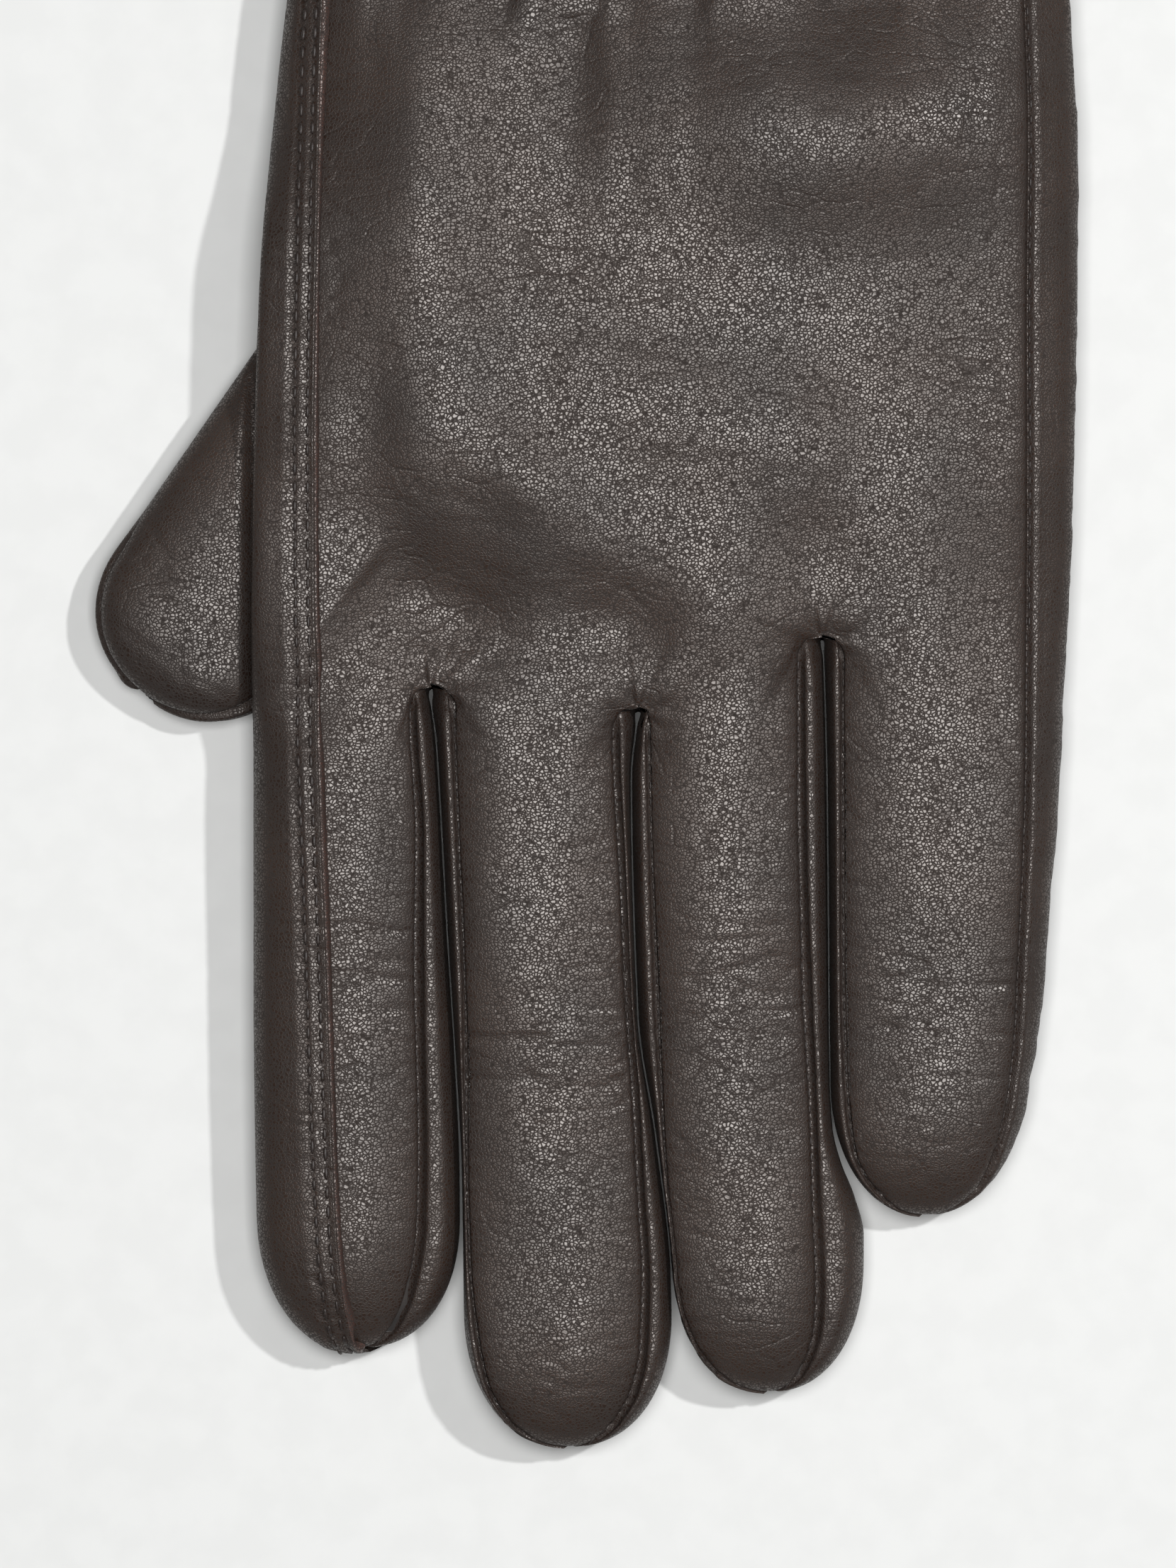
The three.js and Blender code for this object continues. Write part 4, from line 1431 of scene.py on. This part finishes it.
@dataclass
class HandSkin:
    """The leather of the hand: back, palm, the two side strips, the hem and the lining."""

    form: HandForm
    rings: list[Ring]
    wardrobe: Wardrobe
    cuff: float
    hem_depth: float
    strip_stitch: StitchRow = StitchRow()

    def hand_rows(self, ring: Ring) -> slice:
        """The rows from below the hem down to where the fingers' own pieces begin."""
        inside = np.nonzero((ring.y <= self.cuff - self.hem_depth + 1.2) & (ring.y >= LEATHER_SPLIT_Y - 1e-6))[0]
        return slice(inside[0], inside[-1] + 1)

    def joined(self, panel: str) -> tuple[Array, Array, Array]:
        """One panel across the hand, from the panels of the four rings.

        Args:
            panel: "back" or "palm".

        Returns:
            Its points, normals and pucker mask, with each shared column once.
        """
        rings = self.rings if panel == "palm" else self.rings[::-1]
        points, normals, pucker = [], [], []
        for number, ring in enumerate(rings):
            grid = ring.panel(panel)
            normal = ring.normals[:, ring.panels[panel]]
            mask = ring.pucker[:, ring.panels[panel]]
            rows = self.hand_rows(ring)
            start = 1 if number else 0
            points.append(grid[rows][:, start:])
            normals.append(normal[rows][:, start:].copy())
            pucker.append(mask[rows][:, start:])
        return np.concatenate(points, 1), np.concatenate(normals, 1), np.concatenate(pucker, 1)

    def build(self) -> None:
        """Makes every piece of the hand."""
        for panel, node in (("back", "back_panel"), ("palm", "palm_panel")):
            points, normals, pucker = self.joined(panel)
            self.finish_piece(grid_mesh(node + "_leather", points, normals, {"pucker": pucker}), node)
        strips = (("left", self.rings[0], "index_side_strip_hand"), ("right", self.rings[-1], "little_side_strip_hand"))
        for panel, ring, node in strips:
            rows = self.hand_rows(ring)
            grid = ring.panel(panel)
            normals = ring.normals[:, ring.panels[panel]]
            mask = ring.pucker[:, ring.panels[panel]]
            self.finish_piece(grid_mesh(node + "_leather", grid[rows], normals[rows], {"pucker": mask[rows]}), node)
            if panel == "left":
                self.edge_and_rows(grid[rows], normals[rows])
            else:
                path = path_at(grid[rows], grid.shape[1] - 1, -0.3, normals[rows], 0.1)
                row = StitchRow(pitch=1.9, length=1.25, width=0.3, height=0.26).sew(
                    "little_side_seam_stitches_hand", path, self.wardrobe.thread, 9
                )
                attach(row, "hand")
        self.hem()
        self.lining()

    def finish_piece(self, piece: bpy.types.Object, node: str) -> None:
        """Dresses a leather piece of the hand and lets it stand for its CAD node."""
        dress(piece, self.wardrobe.leather)
        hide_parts(node)
        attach(piece, "hand")

    def edge_and_rows(self, points: Array, normals: Array) -> None:
        """The raw edge and stitch rows of the index strip on the hand."""
        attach(lap_edge("index_lap_edge_hand", points, normals, self.wardrobe), "hand")
        for number, distance in enumerate(STRIP_ROWS):
            path = path_at(points, 0, distance, normals, 0.08)
            name = f"index_strip_stitches_{number + 1}_hand"
            row = self.strip_stitch.sew(name, path, self.wardrobe.thread, STRIP_SEED + number)
            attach(row, "hand")

    def skin_at(self, y: Array, depth: Array | float, columns: int) -> Array:
        """A closed loop of the hand's smooth skin at each row, sunk to a depth."""
        section = self.form.section(y, HAND_END_Y)
        sunk = Section(section.centre, section.half - depth, section.low + depth, section.high - depth)
        turn = np.broadcast_to(np.linspace(0, 2 * math.pi, columns), (len(y), columns))
        return sunk.at(turn, y)

    def hem(self) -> None:
        """The cuff's hem: leather turned in over the edge, with one row of stitches."""
        depth = self.hem_depth
        turns = np.linspace(-math.pi / 2, math.pi / 2, 9)
        outside = np.linspace(0.0, depth - 1.2, 12)[::-1]
        loops = [(self.cuff - 1.2 - d, -0.35 * math.exp(-((d - depth + 1.5) ** 2) / 2)) for d in outside]
        loops += [(self.cuff - 1.2 + 1.2 * math.cos(t), 1.2 + 1.2 * math.sin(t)) for t in turns]
        loops += [(self.cuff - 1.2 - d, 2.4) for d in np.linspace(0.6, 14.0, 12)]
        grid = np.concatenate([self.skin_at(np.array([y]), depth, 220) for y, depth in loops], 0)
        ripple = 0.12 * lattice_noise(grid[..., 0] / 5.0, grid[..., 2] / 6.0, 61)
        middle = np.array([grid[..., 0].mean(), self.cuff - 1.2, grid[..., 2].mean()])
        normals = normals_of(grid)
        first = np.sum(normals[2] * (grid[2] - middle)) > 0
        normals = normals if first else -normals
        grid = grid + normals * ripple[..., None]
        grid[..., 2] = np.maximum(grid[..., 2], 0.0)
        piece = grid_mesh("cuff_hem_leather", grid, normals, {"pucker": np.zeros(grid.shape[:2]) + 0.2})
        self.finish_piece(piece, "cuff_hem")
        path = self.skin_at(np.array([self.cuff - depth + 1.6]), -0.25, 260)[0]
        row = self.strip_stitch.sew("cuff_hem_stitches", path, self.wardrobe.thread, 3)
        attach(row, "hand")

    def lining(self) -> None:
        """The knit lining of the hand, seen through the cuff."""
        y = np.linspace(self.cuff - 9.0, -21.0, 72)
        grid = self.skin_at(y, mix(2.6, 5.2, ease((self.cuff - 30.0 - y) / 50.0)), 200)
        lifted = self.form.palm_lift(grid[..., 0], grid[..., 1])
        upper = np.arange(grid.shape[1]) < grid.shape[1] / 2
        grid[..., 2] = np.maximum(grid[..., 2], lifted + 1.0 + 0.5 * upper)
        ribs = 0.14 * np.sin(np.arange(grid.shape[1]) * math.pi / 2.0)[None, :, None]
        normals = normals_of(grid)
        middle = grid.mean(axis=1, keepdims=True)
        normals = normals * -np.sign(np.sum(normals * (grid - middle)))
        grid = grid + normals * ribs
        piece = grid_mesh("hand_lining_knit", grid, normals, {})
        dress(piece, self.wardrobe.lining)
        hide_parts("hand_lining")
        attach(piece, "hand")


@dataclass
class ThumbSkin:
    """The leather of the thumb, which lies partly under the index edge of the hand."""

    root: tuple[float, float]
    turn: float
    bend: float
    wardrobe: Wardrobe
    reach: float = 40.5
    half: float = 13.45
    height: float = 9.8
    round_height: float = 8.0
    fold_x: float = -42.3

    def section(self, y: Array) -> Section:
        """The thumb's section in its own frame, root at 0 and tip towards -Y."""
        past = np.maximum(np.maximum(y, -self.reach - y), 0.0)
        flat = rounded_off(past - (self.half - self.round_height), self.round_height)
        half = self.half * rounded_off(past, self.half)
        return Section(np.zeros_like(y), half, self.height / 2 * (1 - flat), self.height / 2 * (1 + flat))

    def placed(self, local: Array) -> Array:
        """Points of the thumb's own frame, in the glove's frame."""
        c, s = math.cos(self.turn), math.sin(self.turn)
        x = self.root[0] + local[..., 0] * c - local[..., 1] * s
        y = self.root[1] + local[..., 0] * s + local[..., 1] * c
        return np.stack([x, y, local[..., 2]], -1)

    def build(self) -> None:
        """Makes the thumb's four panels and its seam stitches."""
        end = np.sin(np.linspace(0, math.pi / 2, 34)) * self.half * 0.9995
        y = np.concatenate([end[::-1], np.arange(-0.5, -self.reach, -0.5), -self.reach - end])
        section = self.section(y)
        right, left = section.turn_at(np.full_like(y, 0.9)), section.turn_at(np.full_like(y, -0.985))
        below_left, below_right = math.pi + SIDE_SEAM_BELOW, 2 * math.pi - SIDE_SEAM_BELOW
        limits = {
            "right": (np.full_like(y, -SIDE_SEAM_BELOW), right, crowded(20, 0.2, 0.7)),
            "back": (right, left, crowded(48, 0.6, 0.6)),
            "left": (left, np.full_like(y, below_left), crowded(20, 0.7, 0.2)),
            "palm": (np.full_like(y, below_left), np.full_like(y, below_right), crowded(24, 0.3, 0.3)),
        }
        turns, panels, first = [], {}, 0
        for name, (a, b, shares) in limits.items():
            kept = shares if name == "palm" else shares[:-1]
            turns.append(mix(a[:, None], b[:, None], kept[None]))
            panels[name] = slice(first, first + len(shares))
            first += len(kept)
        local = section.at(np.concatenate(turns, 1), y)
        base = self.placed(local)
        normal = outward(base, base.mean(axis=1, keepdims=True))
        height = np.zeros(base.shape[:2])
        pucker = np.zeros(base.shape[:2])
        seam = SeamRelief(groove=0.7, roll=0.3)
        near_tip = ease((-self.reach + 6.0 - y) / 10.0)[:, None]
        columns = (("back", 1, np.ones_like(near_tip)), ("left", -1, near_tip), ("palm", 1, near_tip))
        for name, sign, strength in columns:
            distance = arc_from(base, panels[name].start)
            height += seam.depth(distance, sign) * strength
            # The mask marks the thumb seams' puckers and where shade is painted beside them.
            pucker = np.maximum(pucker, np.exp(-np.abs(distance) / 2.0) * strength)
        up = np.clip(normal[..., 2], 0, 1)
        wrinkled = lattice_noise(base[..., 0] / 9.0, base[..., 1] / 9.0, 81)
        height += up * (0.35 * wrinkled - 0.1 * creases(local[..., 0] / 8.0, local[..., 1] / 2.6, 82))
        points = base + normal * height[..., None]
        inside = ease((points[..., 0] - self.fold_x) / 1.6)
        points[..., 2] -= up * inside * 1.0
        points[..., 2] = np.maximum(points[..., 2], 0.0)
        nodes = {"back": "back", "palm": "palm", "left": "outer_side", "right": "inner_side"}
        for panel, node in nodes.items():
            grid = points[:, panels[panel]]
            normals = outward(grid, points.mean(axis=1, keepdims=True))
            mask = pucker[:, panels[panel]]
            piece = grid_mesh(f"thumb_{node}_leather", grid, normals, {"pucker": mask})
            dress(piece, self.wardrobe.leather)
            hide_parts(f"thumb_{node}_base", f"thumb_{node}_tip")
            self.bend_piece(piece)
            if panel == "back":
                kept = (y < -12.0) & (y > -self.reach - self.half + 0.5)
                path = path_at(grid[kept], 0, 0.34, normals[kept], 0.1)
                row = SEAM_STITCH.sew("thumb_seam_stitches", path, self.wardrobe.thread, 12)
                self.bend_piece(row)

    def bend_piece(self, piece: bpy.types.Object) -> None:
        """Bakes a piece's placement into its mesh."""
        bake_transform(piece)


@dataclass
class CarriedPieces:
    """The inner pieces that keep their CAD shape and get a finish."""

    wardrobe: Wardrobe

    def build(self) -> None:
        """Dresses every CAD node that stays."""
        slots = {row["node"]: row["material_slot"] for row in frame["record"]["subparts"]}
        finishes = {
            "knit_lining": self.wardrobe.lining,
            "elastic_band": self.wardrobe.elastic,
            "touch_fabric": self.wardrobe.pad,
            "label_fabric": self.wardrobe.label,
        }
        for name, node in frame["nodes"].items():
            if slots[name] in finishes:
                for slot in node.material_slots:
                    slot.material = finishes[slots[name]]


@dataclass(frozen=True)
class Studio:
    """The ground, the lights and the camera straight above."""

    middle: tuple[float, float] = (0.1, -41.8)
    seen_height: float = 192.4
    camera_height: float = 1500.0
    sensor: float = 24.0

    def build(self) -> None:
        """Makes the stage."""
        self.ground()
        self.lights()
        self.camera()

    def ground(self) -> None:
        """A wide pale sheet under the glove."""
        half = 2.0
        mesh = bpy.data.meshes.new("ground")
        corners = [(-half, -half, -0.0001), (half, -half, -0.0001), (half, half, -0.0001), (-half, half, -0.0001)]
        mesh.from_pydata(corners, [], [(0, 1, 2, 3)])
        ground = bpy.data.objects.new("ground", mesh)
        bpy.context.scene.collection.objects.link(ground)
        ground.data.materials.append(PaperFinish().make())

    def lights(self) -> None:
        """A soft light overhead, a smaller one from the upper right, and an even surround."""
        rows = [
            ("overhead", (0.0, -0.03, 1.0), 0.36, 7.4),
            ("from the right", (0.56, 0.2, 0.98), 0.05, 5.7),
        ]
        for name, place, size, power in rows:
            light = bpy.data.lights.new(name, "AREA")
            light.size = size
            light.energy = power
            lamp = bpy.data.objects.new(name, light)
            lamp.location = place
            aim = np.array([0.0, -0.04, 0.0]) - np.array(place)
            flat = math.hypot(aim[0], aim[1])
            lamp.rotation_euler = (math.atan2(flat, -aim[2]), 0.0, math.atan2(-aim[0], aim[1]))
            bpy.context.scene.collection.objects.link(lamp)
        world = bpy.data.worlds.new("surround")
        world.use_nodes = True
        world.node_tree.nodes["Background"].inputs[0].default_value = (1.0, 1.0, 1.0, 1.0)
        world.node_tree.nodes["Background"].inputs[1].default_value = 0.07
        bpy.context.scene.world = world
        bpy.context.scene.view_settings.view_transform = "Standard"

    def camera(self) -> None:
        """A long lens straight above, with the cuff above the top edge of the frame."""
        data = bpy.data.cameras.new("above")
        data.sensor_fit = "VERTICAL"
        data.sensor_height = self.sensor
        data.lens = self.sensor * self.camera_height / self.seen_height
        camera = bpy.data.objects.new("above", data)
        camera.location = (self.middle[0] * MM, self.middle[1] * MM, self.camera_height * MM)
        bpy.context.scene.collection.objects.link(camera)
        bpy.context.scene.camera = camera


# ---------------------------------------------------------------------------
# The object itself
# ---------------------------------------------------------------------------


def hand_form(cuff: float) -> HandForm:
    """The hand's outlines and swells."""
    swing = next(j for j in frame["joints"] if j["name"] == "thumb_swing")
    bend_axis = next(j for j in frame["joints"] if j["name"] == "thumb_bend")["axis"]
    return HandForm(
        left_line=[(cuff, -37), (90, -33), (66, -33), (54, -36.1), (12, -39.7), (-24, -40.5), (-45, -40.6)],
        right_line=[(cuff, 58.4), (90, 54), (66, 55), (54, 58.8), (28, 59.9), (-10, 59.2), (-45, 57.6)],
        lap_line=[(cuff, -29.6), (66, -29.5), (54, -31.8), (-10, -33.1), (-45, -32.5)],
        side_seam_line=[(cuff, 52.0), (66, 50.4), (54, 53.5), (-10, 53.9), (-45, 53.6)],
        thumb_root=joint_place("thumb_swing"),
        thumb_turn=math.atan2(bend_axis[1], bend_axis[0]),
        thumb_swing=math.radians(swing["range_deg"][1]),
        swells=[
            (-20.0, 26.0, 8.0, 32.0, 0.0, 1.8),
            (-2.0, 52.0, 4.5, 20.0, 0.0, -1.2),
            (30.0, 38.0, 22.0, 12.5, 0.0, 3.9),
            (34.0, 60.0, 6.0, 14.0, 0.0, -1.0),
            (-17.5, -21.5, 20.0, 8.0, -42.0, -2.7),
            (2.0, -24.0, 12.0, 7.0, -8.0, -1.0),
            (12.0, 4.0, 20.0, 7.0, -14.0, 0.9),
            (-7.0, -5.0, 13.0, 5.0, -40.0, 1.0),
            (45.0, 4.0, 9.0, 18.0, 0.0, 0.5),
            (-8.0, -34.0, 8.0, 10.0, 0.0, 0.8),
            (16.0, -24.0, 8.0, 12.0, 0.0, 0.7),
            (42.0, -30.0, 10.0, 12.0, 0.0, 0.8),
            (28.0, -14.0, 6.0, 7.0, 0.0, -0.8),
            (5.0, -24.0, 5.0, 7.0, 0.0, -0.7),
            (-26.0, 0.0, 4.0, 12.0, 0.0, -0.4),
        ],
    )


def finger_forms() -> list[FingerForm]:
    """The four fingers, from the index finger to the little finger."""
    gaps = [
        Crotch([(123, -11.0), (-10, -17.9), (-30.8, -19.2), (-60, -17.4)], -30.8),
        Crotch([(123, 10.0), (-10, 6.4), (-33.4, 6.1), (-60, 5.4)], -33.4),
        Crotch([(123, 31.5), (-10, 28.8), (-24.7, 28.5), (-60, 29.3)], -24.7),
    ]
    tips = {name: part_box(f"{name}_back_tip")[0].y / MM for name in ("index", "middle", "ring", "little")}
    return [
        FingerForm(
            "index",
            [(-20, -40.5), (-66, -40.6), (-92, -40.3), (-111, -39.6)],
            [
                (-20, -18.8), (-31, -19.2), (-36, -18.6), (-42, -18.2), (-60, -17.2), (-76, -16.2),
                (-90, -15.6), (-111, -15.5),
            ],
            [
                (-10, -33.1), (-35, -32.7), (-63, -31.7), (-81, -31.1), (-89, -30.8), (-98, -30.3),
                (-105, -29.6), (-108.6, -28.8),
            ],
            [
                (-20, -21.0), (-33, -21.2), (-48, -20.4), (-63, -20.5), (-87, -20.1), (-96, -20.3),
                (-104, -21.7), (-108, -23.4), (-109, -24.3),
            ],
            tips["index"], 16.0, None, gaps[0],
            ("index_side_strip", "index_inner_fourchette"), [-60.0, -66.0], seed=101,
        ),
        FingerForm(
            "middle",
            [
                (-20, -18.7), (-31, -19.0), (-36, -18.4), (-42, -18.0), (-60, -17.0), (-76, -16.0),
                (-90, -15.3), (-123, -14.9),
            ],
            [(-20, 6.1), (-33, 6.0), (-41, 5.3), (-70, 6.1), (-85, 8.3), (-102, 10.2), (-123, 10.6)],
            [
                (-20, -16.6), (-35, -16.3), (-48, -15.8), (-68, -15.0), (-87, -14.7), (-101, -14.3),
                (-108, -13.6), (-115, -12.2), (-119.6, -9.6), (-121, -8.0),
            ],
            [
                (-20, 3.2), (-37, 3.5), (-54, 4.4), (-67, 5.0), (-80, 5.9), (-93, 6.6), (-102, 7.1),
                (-111, 6.8), (-116, 5.7), (-119.6, 3.7), (-121, 2.5),
            ],
            tips["middle"], 17.0, gaps[0], gaps[1],
            ("middle_outer_fourchette", "middle_inner_fourchette"), [-73.0, -78.0], seed=202,
        ),
        FingerForm(
            "ring",
            [(-20, 6.3), (-33, 6.2), (-41, 5.5), (-70, 6.3), (-85, 8.5), (-102, 10.4), (-117, 10.9)],
            [
                (-20, 28.6), (-41, 29.2), (-78, 29.6), (-84, 30.0), (-88, 31.0), (-92, 32.6), (-97, 33.8),
                (-117, 33.6),
            ],
            [
                (-20, 7.2), (-37, 7.4), (-68, 8.4), (-85, 9.3), (-95, 10.1), (-103, 10.9), (-108, 11.7),
                (-112, 13.3), (-114, 15.0),
            ],
            [
                (-20, 26.0), (-42, 26.1), (-68, 26.8), (-79, 27.4), (-93, 27.9), (-103, 28.3),
                (-108, 28.1), (-111.4, 27.3), (-114, 26.0),
            ],
            tips["ring"], 16.0, gaps[1], gaps[2],
            ("ring_outer_fourchette", "ring_inner_fourchette"), [-66.0, -71.0], seed=303,
        ),
        FingerForm(
            "little",
            [(-20, 28.8), (-41, 29.4), (-80, 29.8), (-95, 30.2)],
            [(-20, 58.6), (-42, 57.7), (-57, 56.5), (-68, 55.7), (-79, 54.0), (-95, 52.0)],
            [(-20, 31.0), (-64, 31.1), (-76, 31.4), (-82, 31.8), (-87, 32.6), (-90, 34.0), (-92.4, 36.0)],
            [
                (-10, 53.9), (-42, 53.7), (-61, 53.0), (-71, 52.6), (-79, 51.8), (-87, 50.0), (-91, 48.2),
                (-92.4, 46.8),
            ],
            tips["little"], 16.0, gaps[2], None,
            ("little_outer_fourchette", "little_side_strip"), [-66.0, -72.0], seed=404,
        ),
    ]


def main() -> None:
    """Builds the glove and its stage, in order."""
    logging.basicConfig(level=logging.INFO, format="%(name)s: %(message)s")
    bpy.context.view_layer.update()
    Studio().build()
    wardrobe = Wardrobe.made()
    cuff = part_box("cuff_hem")[1].y / MM
    hem_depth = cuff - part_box("cuff_hem")[0].y / MM
    knuckle = joint_place("index_knuckle_bend")[1]
    elastic_y = sum(corner.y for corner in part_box("wrist_elastic")) / 2 / MM
    hand = hand_form(cuff)
    forms = finger_forms()
    bare = [base_ring(hand, form, cuff, knuckle, Columns()) for form in forms]
    rings = [Relief(hand, form, ring, knuckle, elastic_y).apply() for form, ring in zip(forms, bare)]
    for left_ring, right_ring, form in zip(rings, rings[1:], forms[1:]):
        meet(left_ring, right_ring, form.left_gap)
    for form, ring in zip(forms, rings):
        bend = joint_place(f"{form.name}_middle_bend")[1]
        FingerSkin(form, ring, knuckle, bend, wardrobe).build()
        log.info("%s finger: %d rows of skin", form.name, len(ring.y))
    HandSkin(hand, rings, wardrobe, cuff, hem_depth).build()
    log.info("hand: back, palm, side strips, hem and lining")
    root, turn = hand.thumb_root, hand.thumb_turn
    bend_x, bend_y = joint_place("thumb_bend")
    bend = -math.hypot(bend_x - root[0], bend_y - root[1])
    ThumbSkin(root, turn, bend, wardrobe).build()
    log.info("thumb: four panels")
    CarriedPieces(wardrobe).build()
    log.info("inner pieces dressed")


if __name__ == "__main__":
    main()
